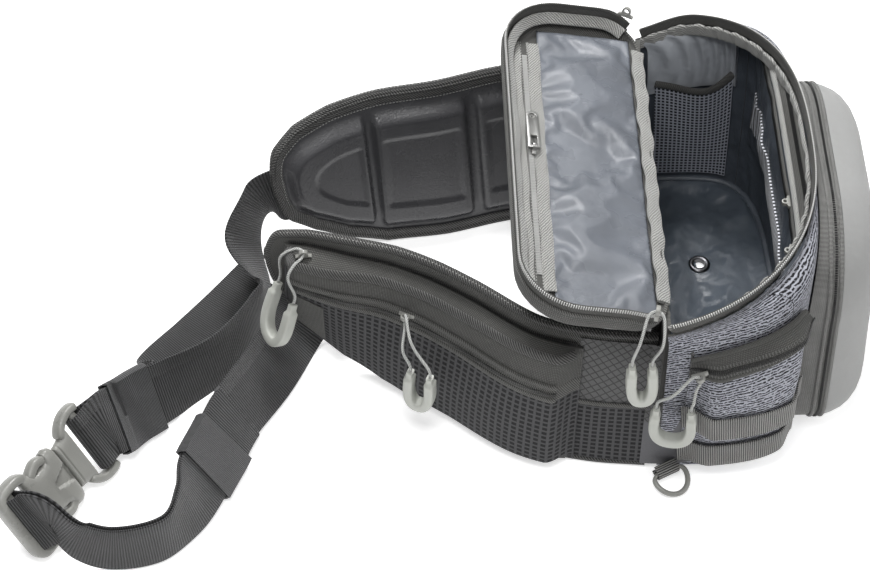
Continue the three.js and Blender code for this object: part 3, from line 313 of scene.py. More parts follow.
LOOK = {
    "cloth": weave("grey_cloth", (0.15, 0.149, 0.14), 0.0012, contrast=0.7, blotch=0.2),
    "ripstop": ripstop("ripstop_cloth", (0.135, 0.135, 0.136)),
    "twill": weave("twill_tape", (0.135, 0.134, 0.126), 0.0014, twill=38, contrast=0.8),
    "edge": weave("edge_binding", (0.125, 0.124, 0.12), 0.0017, twill=40, contrast=0.9),
    # Each mesh's last colour is painted shade in its holes.
    "mesh": spacer_mesh("spacer_mesh", (0.06, 0.06, 0.063), (0.002, 0.002, 0.003)),
    "net": spacer_mesh("pocket_net", (0.42, 0.44, 0.5), (0.007, 0.008, 0.012), (0.0034, 0.0034)),
    # The knit's second colour is painted shade in the gaps between yarn rows.
    "knit": bumpy_knit("bumpy_knit", (0.4, 0.41, 0.46), (0.008, 0.008, 0.01)),
    # The ribbed finishes below carry painted shade in their troughs and painted light on their rib tops.
    "webbing": ribbed("belt_webbing", (0.04, 0.04, 0.042)),
    "fine_band": ribbed("fine_band", (0.22, 0.219, 0.21), 0.0009),
    "band": ribbed("pocket_webbing", (0.18, 0.178, 0.17), 0.0016),
    "elastic": ribbed("elastic_band", (0.06, 0.06, 0.063), 0.0011),
    "striped": ribbed("striped_elastic", (0.42, 0.43, 0.46), 0.0034),
    "fuzzy": brushed_tape("brushed_tape", (0.32, 0.32, 0.305)),
    "lining": slick_lining("slick_lining", (0.135, 0.146, 0.166), 0.28, 0.0014),
    "dark_lining": slick_lining("deep_lining", (0.075, 0.087, 0.105), 0.34),
    "floor_lining": slick_lining("floor_lining", (0.075, 0.09, 0.11), 0.2, 0.016, 18),
    "pale_lining": slick_lining("pale_lining", (0.38, 0.4, 0.43), 0.36),
    "shell": weave("shell_cloth", (0.35, 0.352, 0.347), 0.0006, contrast=0.15, blotch=0.05, sheen=0.2),
    "foam": moulded("moulded_foam", (0.058, 0.058, 0.062), 0.27, 0.0002, 700),
    "shade_pad": moulded("shade_pad", (0.1, 0.1, 0.108), 0.6, 0.0003, 500),
    "zip_tape": weave("zip_tape", (0.135, 0.134, 0.125), 0.001, contrast=0.65),
    "coil": moulded("zip_coil", (0.5, 0.5, 0.49), 0.35),
    "dark_coil": moulded("dark_zip_coil", (0.02, 0.02, 0.02), 0.45),
    "hard": moulded("grey_plastic", (0.26, 0.26, 0.243), 0.3),
    "pull": moulded("pale_plastic", (0.43, 0.44, 0.405), 0.5),
    "metal": moulded("satin_metal", (0.36, 0.36, 0.35), 0.36, 0.00005, 1400, 1.0),
    "dark_metal": moulded("dark_metal", (0.09, 0.09, 0.095), 0.3, 0.00005, 1400, 1.0),
    "cord": weave("braided_cord", (0.6, 0.61, 0.59), 0.0012, twill=45, contrast=0.5),
    "stitch": moulded("thread", (0.27, 0.27, 0.26), 0.7),
    "dark_stitch": moulded("dark_thread", (0.12, 0.12, 0.115), 0.75),
}
print("finishes", len(LOOK))

# %% [markdown]
# ## Sheets and swept tapes
# Cloth is a sheet: two grids of points, a front and a back, joined round the edge. Tapes, webbing
# and tubes are a profile swept along stations. Both helpers write the UV map in metres along the
# cloth, so a finish keeps its scale. All shapes are worked out in millimetres.

# %% Small helpers
UP, THIN = np.array((0.0, 0.0, 1.0)), 0.7


def v3(x, y, z):
    return np.array((x, y, z), float)


def unit(a):
    return a / np.maximum(np.linalg.norm(a, axis=-1, keepdims=True), 1e-9)


def mix(a, b, t):
    return a + (b - a) * t


def smooth(a, b, t):
    k = np.clip((t - a) / (b - a), 0, 1)
    return k * k * (3 - 2 * k)


def hump(k):
    return math.sin(math.pi * k)


def steps_of(line):
    return np.linalg.norm(np.diff(line, axis=0), axis=-1)


print("thin sheets are", THIN, "mm")


# %% Sheet helpers
def make(name, points, faces, uvs, looks, kinds=None, sharp=50, body="pack", slot=None, node=None):
    """A mesh piece on its body that stands in for a solid where a node is named; slot is not used."""
    data = bpy.data.meshes.new(name)
    data.from_pydata([tuple(p) for p in np.asarray(points) * MM], [], faces)
    layer = data.uv_layers.new(name="cloth")
    corners = np.concatenate([np.asarray(f) for f in faces])
    layer.data.foreach_set("uv", (np.asarray(uvs)[corners] * MM).astype(np.float32).ravel())
    for look_name in looks:
        data.materials.append(LOOK[look_name])
    if kinds is not None:
        data.polygons.foreach_set("material_index", np.asarray(kinds, np.int32))
    data.validate()
    work = bmesh.new()
    work.from_mesh(data)
    bmesh.ops.remove_doubles(work, verts=work.verts, dist=1e-6)
    bmesh.ops.recalc_face_normals(work, faces=work.faces)
    work.to_mesh(data)
    work.free()
    data.shade_smooth()
    data.set_sharp_from_angle(angle=math.radians(sharp))
    piece = add(bpy.data.objects.new(name, data))
    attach(piece, body)
    if node:
        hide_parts(node)
    return piece


def grid_normals(points, toward):
    n = unit(np.cross(np.gradient(points, axis=0), np.gradient(points, axis=1)))
    return -n if (n * (points - toward)).sum() < 0 else n


def grid_faces(nu, nv):
    ids = np.arange(nu * nv).reshape(nu, nv)
    corners = ids[:-1, :-1], ids[1:, :-1], ids[1:, 1:], ids[:-1, 1:]
    return ids, np.stack(corners, -1).reshape(-1, 4)


def sheet(name, front, back, looks, **rest):
    """Two grids of points joined into one closed sheet; looks are (front, back, edge)."""
    nu, nv = front.shape[:2]
    half = nu * nv
    u = np.concatenate([[0], np.cumsum(np.linalg.norm(np.diff(front, axis=0), axis=-1).mean(1))])
    v = np.concatenate([[0], np.cumsum(np.linalg.norm(np.diff(front, axis=1), axis=-1).mean(0))])
    uv = np.stack(np.meshgrid(u, v, indexing="ij"), -1).reshape(-1, 2)
    ids, quad = grid_faces(nu, nv)
    faces = [tuple(q) for q in quad] + [tuple(q[::-1] + half) for q in quad]
    sides = []
    if not np.allclose(front[0], front[-1]):
        sides += [ids[-1, :], ids[0, ::-1]]
    if not np.allclose(front[:, 0], front[:, -1]):
        sides += [ids[:, 0], ids[::-1, -1]]
    rim = [(a, b) for side in sides for a, b in zip(side[:-1], side[1:])]
    faces += [(a, a + half, b + half, b) for a, b in rim]
    kinds = [0] * len(quad) + [1] * len(quad) + [2 if len(looks) > 2 else 0] * len(rim)
    points = np.concatenate([front.reshape(-1, 3), back.reshape(-1, 3)])
    return make(name, points, faces, np.concatenate([uv, uv]), looks, kinds, **rest)


def spread(surface, us, vs, offset):
    """Points of surface(u, v, offset) on a grid; the offset may change from place to place."""
    lift = offset if callable(offset) else lambda u, v: offset
    return np.array([[surface(u, v, lift(u, v)) for v in vs] for u in us], float)


def layered(name, surface, us, vs, over, under, looks, **rest):
    """A sheet between two offsets of one surface; gives back the points of its front."""
    front = spread(surface, us, vs, over)
    sheet(name, front, spread(surface, us, vs, under), looks, **rest)
    return front


def thin_sheet(name, points, toward, look_name, **rest):
    """A thin sheet on a grid of points, with its front turned away from the point toward."""
    n = grid_normals(points, toward)
    return sheet(name, points, points - n * THIN, (look_name, look_name), **rest)


print("sheet helpers ready")


# %% Tape helpers
def stations(centres, across=None, away=None):
    """Frames along a line: centre, across the tape and away from it."""
    c = np.asarray(centres, float)
    t = unit(np.gradient(c, axis=0))
    given = np.broadcast_to(np.asarray(across if away is None else away, float), c.shape)
    given = unit(given - t * (given * t).sum(-1, keepdims=True))
    if away is not None:
        return c, unit(np.cross(given, t)), given
    return c, given, unit(np.cross(t, given))


def swept(name, frames, profile, look_name, closed=False, widths=None, **rest):
    """A closed profile of (across, away) points swept along frames; ends are capped."""
    c, w, n = frames
    profile = np.asarray(profile, float)
    m, count = len(profile), len(c)
    k = (np.ones(count) if widths is None else np.asarray(widths))[:, None]
    rings = c[:, None] + profile[None, :, :1] * (w * k)[:, None] + profile[None, :, 1:] * (n * k)[:, None]
    along, about = (np.concatenate([[0], np.cumsum(steps_of(line))]) for line in (c, profile))
    uv = np.stack(np.meshgrid(along, about, indexing="ij"), -1).reshape(-1, 2)
    faces = []
    for i in range(count if closed else count - 1):
        i1 = (i + 1) % count
        for j in range(m):
            j1 = (j + 1) % m
            faces.append((i * m + j, i * m + j1, i1 * m + j1, i1 * m + j))
    if not closed:
        faces += [tuple(range(m))[::-1], tuple(range((count - 1) * m, count * m))]
    return make(name, rings.reshape(-1, 3), faces, uv, (look_name,), **rest)


def tape(name, line, away, profile, look_name, slot="binding_tape", **rest):
    """A profile swept along a line, with its second axis turned away from the cloth."""
    return swept(name, stations(line, away=away), profile, look_name, slot=slot, **rest)


def flat_profile(width, thick, rounds=3):
    r = thick / 2
    turns = np.linspace(0, math.pi, rounds + 2)
    right = [(width / 2 - r + r * math.sin(a), -r * math.cos(a)) for a in turns]
    left = [(-x, -z) for x, z in right]
    top = [(x, thick / 2) for x in np.linspace(width / 2 - r, -width / 2 + r, 6)[1:-1]]
    low = [(-x, -thick / 2) for x, _ in top]
    return right + top + left + low


def round_profile(a, b=None, power=2.0, sides=14):
    b = a if b is None else b
    g = np.linspace(0, 2 * math.pi, sides, endpoint=False)
    bend = lambda k: np.sign(k) * np.abs(k) ** (2 / power)
    return np.stack([a * bend(np.cos(g)), b * bend(np.sin(g))], -1)


print("tape helpers ready")


# %% Smooth line
class Curve:
    """A smooth line through points, with knots spaced by the root of their distance."""

    def __init__(self, points):
        self.p = np.asarray(points, float)

    def at(self, t):
        p, count = self.p, len(self.p)
        s = (count - 1) * float(t)
        i = min(max(int(math.floor(s)), 0), count - 2)
        w = s - i
        p0 = p[i - 1] if i > 0 else 2 * p[0] - p[1]
        p3 = p[i + 2] if i + 2 < count else 2 * p[-1] - p[-2]
        p1, p2 = p[i], p[i + 1]
        d = [max(np.sum((b - a) ** 2) ** 0.25, 1e-4) for a, b in ((p0, p1), (p1, p2), (p2, p3))]
        t1 = ((p1 - p0) / d[0] - (p2 - p0) / (d[0] + d[1]) + (p2 - p1) / d[1]) * d[1]
        t2 = ((p2 - p1) / d[1] - (p3 - p1) / (d[1] + d[2]) + (p3 - p2) / d[2]) * d[1]
        return p1 + w * (t1 + w * (-3 * p1 + 3 * p2 - 2 * t1 - t2 + w * (2 * p1 - 2 * p2 + t1 + t2)))

    def points(self, count):
        return np.array([self.at(t) for t in np.linspace(0, 1, count)])

    def tangent(self, t, h=1e-4):
        return unit(self.at(min(1, t + h)) - self.at(max(0, t - h)))


print("smooth line ready")

# %% [markdown]
# ## Rows of small things
# Zip coils and stitches repeat along a line, so Geometry Nodes make them. The line is a mesh of
# edges that knows which way its surface faces. The tree spaces points along it and sets one small
# rounded block on each, turned along the line, and ends as plain mesh.

# %% Row tree
def row_tree(name):
    tree = bpy.data.node_groups.new(name, "GeometryNodeTree")
    io = tree.interface
    io.new_socket("Geometry", in_out="INPUT", socket_type="NodeSocketGeometry")
    for label in ("Spacing", "Along", "Across", "Height"):
        io.new_socket(label, in_out="INPUT", socket_type="NodeSocketFloat")
    io.new_socket("Finish", in_out="INPUT", socket_type="NodeSocketMaterial")
    io.new_socket("Geometry", in_out="OUTPUT", socket_type="NodeSocketGeometry")
    new = tree.nodes.new
    source, sink = new("NodeGroupInput"), new("NodeGroupOutput")
    line, spaced = new("GeometryNodeMeshToCurve"), new("GeometryNodeResampleCurve")
    spaced.mode = "LENGTH"
    block, size = new("GeometryNodeMeshCylinder"), new("ShaderNodeCombineXYZ")
    for label, value in (("Vertices", 6), ("Radius", 0.5), ("Depth", 1.0)):
        block.inputs[label].default_value = value
    facing, along = new("GeometryNodeInputNamedAttribute"), new("GeometryNodeInputTangent")
    facing.data_type = "FLOAT_VECTOR"
    facing.inputs["Name"].default_value = "facing"
    turn_x, turn_z = (new("FunctionNodeAlignRotationToVector") for _ in range(2))
    turn_x.axis, turn_z.axis, turn_z.pivot_axis = "X", "Y", "X"
    put, real = new("GeometryNodeInstanceOnPoints"), new("GeometryNodeRealizeInstances")
    paint = new("GeometryNodeSetMaterial")
    for start, output, end, entry in (
        (source, "Geometry", line, "Mesh"), (line, "Curve", spaced, "Curve"),
        (source, "Spacing", spaced, "Length"), (along, "Tangent", turn_x, "Vector"),
        (turn_x, "Rotation", turn_z, "Rotation"), (facing, "Attribute", turn_z, "Vector"),
        (source, "Along", size, "X"), (source, "Height", size, "Y"), (source, "Across", size, "Z"),
        (spaced, "Curve", put, "Points"), (block, "Mesh", put, "Instance"),
        (turn_z, "Rotation", put, "Rotation"), (size, "Vector", put, "Scale"),
        (put, "Instances", real, "Geometry"), (real, "Geometry", paint, "Geometry"),
        (source, "Finish", paint, "Material"), (paint, "Geometry", sink, "Geometry"),
    ):
        tree.links.new(start.outputs[output], end.inputs[entry])
    return tree


ROW = row_tree("row_on_line")
print("row tree nodes", len(ROW.nodes))

# %% Row helper
BIG_COIL, SMALL_COIL, WING_COIL = (1.7, 0.95, 2.6, 1.4), (1.5, 0.85, 3.4, 1.4), (1.6, 0.9, 3.6, 1.5)
BAND_STITCH, SEAM_STITCH = (2.8, 1.6, 0.6, 0.5), (2.6, 1.7, 0.6, 0.5)


def row(name, lines, size, look_name):
    """Blocks on one or more (points, facing) lines; size is spacing, along, across and height."""
    points, edges, facing = [], [], []
    for line, away in lines:
        start = len(points)
        points += [tuple(p) for p in np.asarray(line) * MM]
        facing += [tuple(f) for f in np.broadcast_to(away, np.shape(line))]
        edges += [(start + i, start + i + 1) for i in range(len(line) - 1)]
    data = bpy.data.meshes.new(name)
    data.from_pydata(points, edges, [])
    layer = data.attributes.new("facing", "FLOAT_VECTOR", "POINT")
    layer.data.foreach_set("vector", np.asarray(facing, np.float32).ravel())
    piece = add(bpy.data.objects.new(name, data))
    modifier = piece.modifiers.new("row", "NODES")
    modifier.node_group = ROW
    values = dict(zip(("Spacing", "Along", "Across", "Height"), (k * MM for k in size)))
    values["Finish"] = LOOK[look_name]
    for item in ROW.interface.items_tree:
        if item.in_out == "INPUT" and item.name in values:
            modifier[item.identifier] = values[item.name]
    bpy.context.view_layer.update()
    done = bpy.data.meshes.new_from_object(piece.evaluated_get(bpy.context.evaluated_depsgraph_get()))
    piece.modifiers.remove(modifier)
    piece.data = done
    done.name = name
    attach(piece, "pack")
    print(name, "faces", len(done.polygons))


print("row helper ready")

# %% [markdown]
# ## The main bag
# The bag is boxy at the floor and rounded at the rim, and its rim slopes up towards the front.
# The same rule that shaped the solid gives a fine grid here, with slight puckers. The outside is
# knit or grey cloth, the inside is dark slick lining.

# %% Bag form
BACK_X, BAG_DEPTH, BAG_HALF_WIDTH = -56, 112, 141
RIM_BACK_Z, RIM_SLOPE, WALL, SHOULDER, FAR_FLARE = 160, 0.33, 2.4, 0.8, 0.065
KNIT_WALL = ("knit", "dark_lining", "cloth")


def rim_z(x):
    return RIM_BACK_Z + RIM_SLOPE * (x - BACK_X)


def shoulder(v):
    """How far a height v is up to the shoulder, the angle past it, and how round the bag is there."""
    low, top = min(v / SHOULDER, 1), max(0, (v - SHOULDER) / (1 - SHOULDER))
    angle = math.pi / 2 * min(top, 1.2)
    return low, angle, 0.3 * low ** 1.5 + 0.7 * (1 - math.cos(angle))


def bag_shape(v):
    low, angle, ease = shoulder(v)
    height = 0.9 + 0.1 * math.sin(angle) if v > SHOULDER else 0.9 * v / SHOULDER
    return height, mix(6, 2.1, ease), mix(4, 2.6, ease), BAG_HALF_WIDTH + 2 * low


def height_share(x, z, top, rounds):
    """The share v of the wall whose height at x is z, found by halving."""
    a, b = 0.0, top
    for _ in range(rounds):
        m = (a + b) / 2
        a, b = (m, b) if bag_shape(m)[0] * rim_z(x) < z else (a, m)
    return a


def flare(x, v, sign):
    return 1 + FAR_FLARE * shoulder(v)[2] * smooth(0, 45, x - BACK_X) if sign > 0 else 1


def bag_wall(turn, v):
    height, p, q, width = bag_shape(v)
    lean = math.sin(math.pi / 2 * (1 - abs(turn))) ** mix(1.7, 1, 1 if p < 2.2 else 0.2)
    t = lean ** (2 / p)
    x = BACK_X + BAG_DEPTH * t
    y = math.copysign(width * max(0, 1 - t ** p) ** (1 / q), turn) * flare(x, v, turn)
    return v3(x, y, height * rim_z(x))


def from_middle(n, p):
    return n if n @ (p - v3(BACK_X + 20, 0, p[2])) > 0 else -n


def wall(turn, v, offset):
    h, below = 2e-3, min(v, 0.97)
    du = bag_wall(min(1, turn + h), v) - bag_wall(max(-1, turn - h), v)
    dv = bag_wall(turn, below + h) - bag_wall(turn, max(0, below - h))
    p = bag_wall(turn, v)
    return p + unit(from_middle(np.cross(du, dv) * (1, 1, 0.4), p)) * offset


def ripple(t, v, k):
    return k * (math.sin(37 * t + 9 * v) * math.sin(23 * v - 11 * t) + 0.6 * math.sin(71 * t - 31 * v))


def back_plane(y, z, offset):
    return v3(BACK_X + offset, y, z)


print("rim heights", rim_z(BACK_X), round(rim_z(BACK_X + BAG_DEPTH), 1))

# %% Bag walls
WALL_ROWS = np.concatenate([np.linspace(0.004, 0.8, 22), np.linspace(0.82, 0.998, 14)])
for side, sign in SIDES:
    layered(f"bag_side_{side}", lambda t, v, o: wall(sign * t, v, o), np.linspace(0.528, 0.999, 44),
            WALL_ROWS, -0.1, lambda t, v: -2.2 + ripple(t, v, 0.35), KNIT_WALL, slot="knit_cloth",
            node=f"side_panel_{side}")
front = layered("bag_front", wall, np.linspace(-0.524, 0.524, 100), WALL_ROWS, -0.1,
                lambda t, v: -2.2 + ripple(t, v, 0.4), KNIT_WALL, slot="cloth", node="front_panel")
layered("bag_back", back_plane, np.linspace(-137.6, 137.6, 70), np.linspace(0.2, 164.2, 40), 0.05,
        lambda y, z: 2.7 + ripple(y / 90, z / 160, 0.25), ("cloth", "dark_lining", "cloth"), slot="cloth",
        node="back_panel")
print("bag walls", [round(float(k), 1) for k in front.reshape(-1, 3).max(0)])

# %% [markdown]
# ## Rim zip and seam tape
# A woven tape stands on the rim and carries the zip coil on its edge. Inside, a brushed tape covers
# the raw seam and wavers as sewn tape does. The coil is the Geometry Nodes row, with a thin cord
# under it.

# %% Rim
RIM_TURNS, TAPE_RISE, ZIP_TAPE = np.linspace(-0.984, 0.984, 260), 4.5, flat_profile(9, 1.5)


def rim_frame(turn, rise, inward=0.0):
    h = 2e-3
    p, d = bag_wall(turn, 1), bag_wall(turn + h, 1) - bag_wall(turn - h, 1)
    n = from_middle(unit(v3(d[1], -d[0], 0)), p)
    p = p - n * (1.6 + inward)
    p[2] = rim_z(p[0]) + 1.2 + rise
    return p, n


def rim_line(rise):
    return np.array([rim_frame(t, rise)[0] for t in RIM_TURNS])


rim_out = np.array([rim_frame(t, 0)[1] for t in RIM_TURNS])
tape("rim_zip_tape_woven", rim_line(TAPE_RISE), rim_out, ZIP_TAPE, "zip_tape", "zip_tape",
     node="rim_zip_tape")
row("rim_zip_coil", [(rim_line(TAPE_RISE + 3.8) + rim_out * 0.9, rim_out)], BIG_COIL, "coil")
tape("rim_zip_edge", rim_line(TAPE_RISE + 4.8), rim_out, round_profile(0.55), "zip_tape", "zip_tape")
waver = np.array([1.1 * math.sin(63 * t) + 0.8 * math.sin(141 * t + 1) for t in RIM_TURNS])
seam = [rim_frame(t, -3.4 + 0.7 * w, 2.9 + 0.4 * w)[0] for t, w in zip(RIM_TURNS, waver)]
tape("rim_seam_tape", seam, -rim_out, flat_profile(10.5, 2.4), "fuzzy", widths=1 + 0.07 * waver)

# %% [markdown]
# ## Floor and drain eyelet
# The floor is one coated panel with slack lining over it. A metal eyelet drains it. The slack lies
# in low folds that fade out at the eyelet and at the walls.

# %% Floor
EYELET, HOLE, RIM_SHARE = v3(-2.5, 47, 0), 6.3, 0.3
FLOOR_EDGE, FLOOR_SEAM = BACK_X + 3.7, round_profile(3.0, 2.2)
outline = [wall(t, 0, -WALL - 0.7) for t in np.linspace(-0.985, 0.985, 90)]
outline = [v3(FLOOR_EDGE, -137.8, 0)] + [v3(max(p[0], FLOOR_EDGE), p[1], 0) for p in outline]
outline = np.array(outline + [v3(FLOOR_EDGE, 137.8, 0)])


def floor_point(p, k, top):
    """A place a share k of the way from the eyelet to the edge point p, on the top or below."""
    q = EYELET + (p - EYELET) * k
    if k <= RIM_SHARE:
        far = np.linalg.norm(p - EYELET) * RIM_SHARE
        q = EYELET + unit(p - EYELET) * mix(HOLE, far, (k - 0.059) / 0.241)
    x, y = q[:2]
    fade = smooth(0, 0.12, 1 - k) * smooth(0.06, RIM_SHARE, k)
    fold = math.sin(x / 11 + y / 23) + math.sin(y / 15 - x / 29 + 2) + 0.6 * math.sin(x / 6 - y / 9)
    lift = 3.2 * fade * max(0.0, fold) ** 1.4 / 2.6
    return v3(x, y, 2.95 + lift if top else 0.0)


reach = np.concatenate([[5.9], np.linspace(9, 30, 7), np.linspace(34, 100, 26)]) / 100
layered("bag_floor", floor_point, np.concatenate([outline, outline[:1]]), reach, True, False,
        ("floor_lining", "cloth", "cloth"), slot="bottom_cloth", node="bottom_panel")
tape("floor_seam", outline + UP * 3.4, UP, FLOOR_SEAM, "dark_lining", "lining_cloth")
back_seam = [v3(BACK_X + 3.4, y, 3.4) for y in np.linspace(-137, 137, 40)]
tape("floor_back_seam", back_seam, UP, FLOOR_SEAM, "dark_lining", "lining_cloth")
eyelet = [(4.3, 0.4), (5.6, 0.4), (5.6, 3.2), (8.2, 3.3), (8.5, 4.0), (7.6, 5.0), (6.0, 5.2), (4.6, 4.6)]
angles = np.linspace(0, 2 * math.pi, 40, endpoint=False)
spokes = np.stack([np.cos(angles), np.sin(angles), 0 * angles], -1)
frames = np.repeat(EYELET[None], 40, 0), spokes, np.repeat(UP[None], 40, 0)
swept("drain_eyelet", frames, eyelet, "dark_metal", closed=True, slot="metal", node="drain_grommet")
print("floor and eyelet made")

# %% [markdown]
# ## Lid
# The lid is a shallow tray laid open on its hinge: stiff cloth with a short upright gusset, and a
# zip tape standing on it. Its outline is a rounded rectangle with wider corners at the free edge.
# Two tables give the tray's rings, from its floor up to the edge of the gusset.

# %% Lid form
TILT = math.radians(10.4)
LID_ORIGIN = v3(BACK_X + 0.9, 0, RIM_BACK_Z + 1.7)
LID_OUT = v3(-math.cos(TILT), 0, math.sin(TILT))
LID_UP = v3(math.sin(TILT), 0, math.cos(TILT))
LID_LENGTH, LID_HALF, LID_GUSSET, HINGE_GUSSET = 110, 146, 15, 7
CORNER_STEPS, HINGE_STEPS, STEP_LENGTH = 9, 40, 7
# Each ring is an inset and a height, or two heights where it is lower beside the hinge.
TRAY_OUT = ((40, 0.05), (20, 0.05), (7, 0.1), (3.4, 1.1), (1.8, 3.4), (1.1, 6.5, 5), (1.0,))
TRAY_IN = ((40, 2.5), (20, 2.5), (9, 2.6), (5.8, 3.2), (4.2, 5.0), (3.5, 7, 6), (3.4,))


def lid(a, y, c):
    return LID_ORIGIN + LID_OUT * a + LID_UP * c + v3(0, y, 0)


def lid_outline(inset):
    half = []
    for end, radius, start in ((0, 26, 180), (LID_LENGTH, 44, 90)):
        r = radius - inset * 0.5
        centre = inset + r if end == 0 else LID_LENGTH - inset - r
        for i in range(CORNER_STEPS + 1):
            g = math.radians(start - 90 * i / CORNER_STEPS)
            half.append((centre + r * math.cos(g), LID_HALF - inset - r + r * math.sin(g)))
    line = half + [(a, -y) for a, y in half[::-1]]
    full = []
    for (a0, y0), (a1, y1) in zip(line, line[1:]):
        steps = max(1, int(math.hypot(a1 - a0, y1 - y0) / STEP_LENGTH))
        full += [(mix(a0, a1, k / steps), mix(y0, y1, k / steps)) for k in range(steps)]
    full.append(line[-1])
    end_a, end_y = line[-1]
    full += [(end_a, mix(end_y, line[0][1], k / HINGE_STEPS)) for k in range(1, HINGE_STEPS)]
    return np.array(full)


base_line = lid_outline(1)
count = len(base_line)


def gusset(a):
    return mix(HINGE_GUSSET, LID_GUSSET, smooth(0, 34, a))


def lid_at(index, inset, c):
    place = base_line[index]
    outward = unit(place - np.clip(place, (46, -100), (64, 100)))
    return lid(*(place - outward * (inset - 1)), c)


def tray_point(index, ring, table):
    edge = gusset(base_line[index][0])
    inset, *heights = table[ring]
    heights = heights or [edge]
    return lid_at(index, inset, heights[0] if edge > 8 else heights[-1])


print("lid outline", count, "points")

# %% Lid tray
layered("lid_tray", tray_point, [*range(count), 0], range(len(TRAY_OUT)), TRAY_OUT, TRAY_IN,
        ("cloth", "twill", "twill"), slot="cloth", node="lid_shell")
layered("lid_panel", lid, np.linspace(30, 82, 12), np.linspace(-116, 116, 40), 0.1, 2.45,
        ("cloth", "lining", "cloth"), slot="cloth")
print("lid tray", len(TRAY_OUT), "rings")

# %% [markdown]
# ## Lid zip
# The other half of the main zip stands on the gusset, round the lid's free sides. The tape is swept
# along the outline, with the coil on its edge and piping under it. Inside, a brushed tape covers
# the raw seam and sways as sewn tape does.

# %% Lid zip
standing = [i for i in range(count) if base_line[i][0] > 7.5]
tape_line = np.array([lid_at(i, 2.2, gusset(base_line[i][0]) + 4.9) for i in standing])
outward = unit(np.array([lid_at(i, 0, 0) - lid_at(i, 2, 0) for i in standing]))
tape("lid_zip_tape_woven", tape_line, outward, ZIP_TAPE, "zip_tape", "zip_tape", node="lid_zip_tape")
row("lid_zip_coil", [(tape_line + LID_UP * 3.6 + outward * 0.9, outward)], BIG_COIL, "coil")
tape("lid_zip_edge", tape_line + LID_UP * 4.6, outward, round_profile(0.6), "zip_tape", "zip_tape")
piping = tape_line - LID_UP * 4.4 + outward * 1.2
tape("lid_zip_piping", piping, outward, round_profile(1.3), "twill", "zip_tape")
seam, lean = [], []
for i in range(count):
    if base_line[i][0] > 9:
        sway = 1.2 * math.sin(i * 0.41) + 0.8 * math.sin(i * 0.93 + 1)
        seam.append(lid_at(i, 7.0 + 0.5 * sway, gusset(base_line[i][0]) * 0.8 + 2.2 + 0.4 * sway))
        lean.append(lid_at(i, 12, 2) - lid_at(i, 4, 0) + LID_UP * 5)
tape("lid_seam_tape", seam, lean, flat_profile(9, 2.2), "fuzzy")

# %% [markdown]
# ## Settling loose cloth
# The lid's lining is loose and shows soft creases. Blender's cloth lets a sheet that was cut too
# large buckle into natural ones. The helper copies a grid into a mesh ten times as large, pins its
# border, lets it grow a little, steps the frames and reads the result back. A cap keeps every point
# near where the solid has it.

# %% Cloth helper
LARGE, SIDEWAYS = 10, 2.5
SETTINGS = {
    "vertex_group_mass": "sewn", "quality": 6, "mass": 0.15, "tension_stiffness": 12,
    "compression_stiffness": 12, "shear_stiffness": 4, "bending_stiffness": 9, "air_damping": 3,
}


def settle(points, grow, toward, low, high, steps=24):
    """Points of a grid after buckling; low and high cap the travel along toward, in millimetres."""
    nu, nv = points.shape[:2]
    ids, quad = grid_faces(nu, nv)
    along, over = np.meshgrid(np.arange(nv) * 2.1, np.arange(nu) * 1.6)
    bend = np.sin((0.8 * along + 1.2 * over) / 15) + 0.7 * np.sin((along - 1.5 * over) / 21 + 1)
    start = points + toward * (0.45 * bend + 0.5)[..., None]
    data = bpy.data.meshes.new("settling")
    data.from_pydata([tuple(p) for p in start.reshape(-1, 3) * MM * LARGE], [], [tuple(q) for q in quad])
    piece = add(bpy.data.objects.new("settling", data))
    border = np.concatenate([ids[0], ids[-1], ids[:, 0], ids[:, -1]])
    piece.vertex_groups.new(name="sewn").add([int(i) for i in border], 1.0, "REPLACE")
    modifier = piece.modifiers.new("cloth", "CLOTH")
    for key, value in SETTINGS.items():
        setattr(modifier.settings, key, value)
    modifier.settings.shrink_min = -grow
    modifier.settings.effector_weights.gravity = 0.0
    modifier.point_cache.frame_start, modifier.point_cache.frame_end = 1, steps
    for f in range(1, steps + 1):
        bpy.context.scene.frame_set(f)
    done = piece.evaluated_get(bpy.context.evaluated_depsgraph_get()).to_mesh()
    moved = np.array([v.co for v in done.vertices], float).reshape(nu, nv, 3) / MM / LARGE - points
    bpy.data.objects.remove(piece)
    bpy.context.scene.frame_set(1)
    travel = (moved * toward).sum(-1)
    side = np.clip(moved - toward * travel[..., None], -SIDEWAYS, SIDEWAYS)
    return points + side + toward * np.clip(travel, low, high)[..., None]


print("cloth settings", len(SETTINGS))

# %% [markdown]
# ## Lid lining
# The lining is one slick panel, sewn in at all its edges. A noise could give it folds, but a settled
# sheet has folds that run from seam to seam as real ones do. It is cut a little larger than the panel
# under it, and its flat area is printed.

# %% Lid lining
flat_lining = spread(lid, np.linspace(8.5, 80, 46), np.linspace(-132, 132, 124),
                     lambda a, y: 4.2 + 1.6 * math.sin(math.pi * (a - 12) / 70))
loose = settle(flat_lining, 0.035, LID_UP, -1.0, 5.5)
piece = thin_sheet("lid_lining_cloth", loose, loose.reshape(-1, 3).mean(0) - LID_UP * 400, "lining",
                   sharp=180, slot="lining_cloth", node="lid_lining")
steps_a, steps_y = np.diff(flat_lining, axis=0)[:, :-1], np.diff(flat_lining, axis=1)[:-1]
area = float(np.linalg.norm(np.cross(steps_a, steps_y), axis=-1).sum())
print("lid lining", round(area * 1e-6, 4), "square metres")

# %% [markdown]
# ## Lid bands and pocket zip
# Light brushed bands frame the lid's pocket zip, which runs beside the free edge, and a thick one
# covers the hinge seam. Each wavers a little, and a stitch runs down both sides of the flat ones.

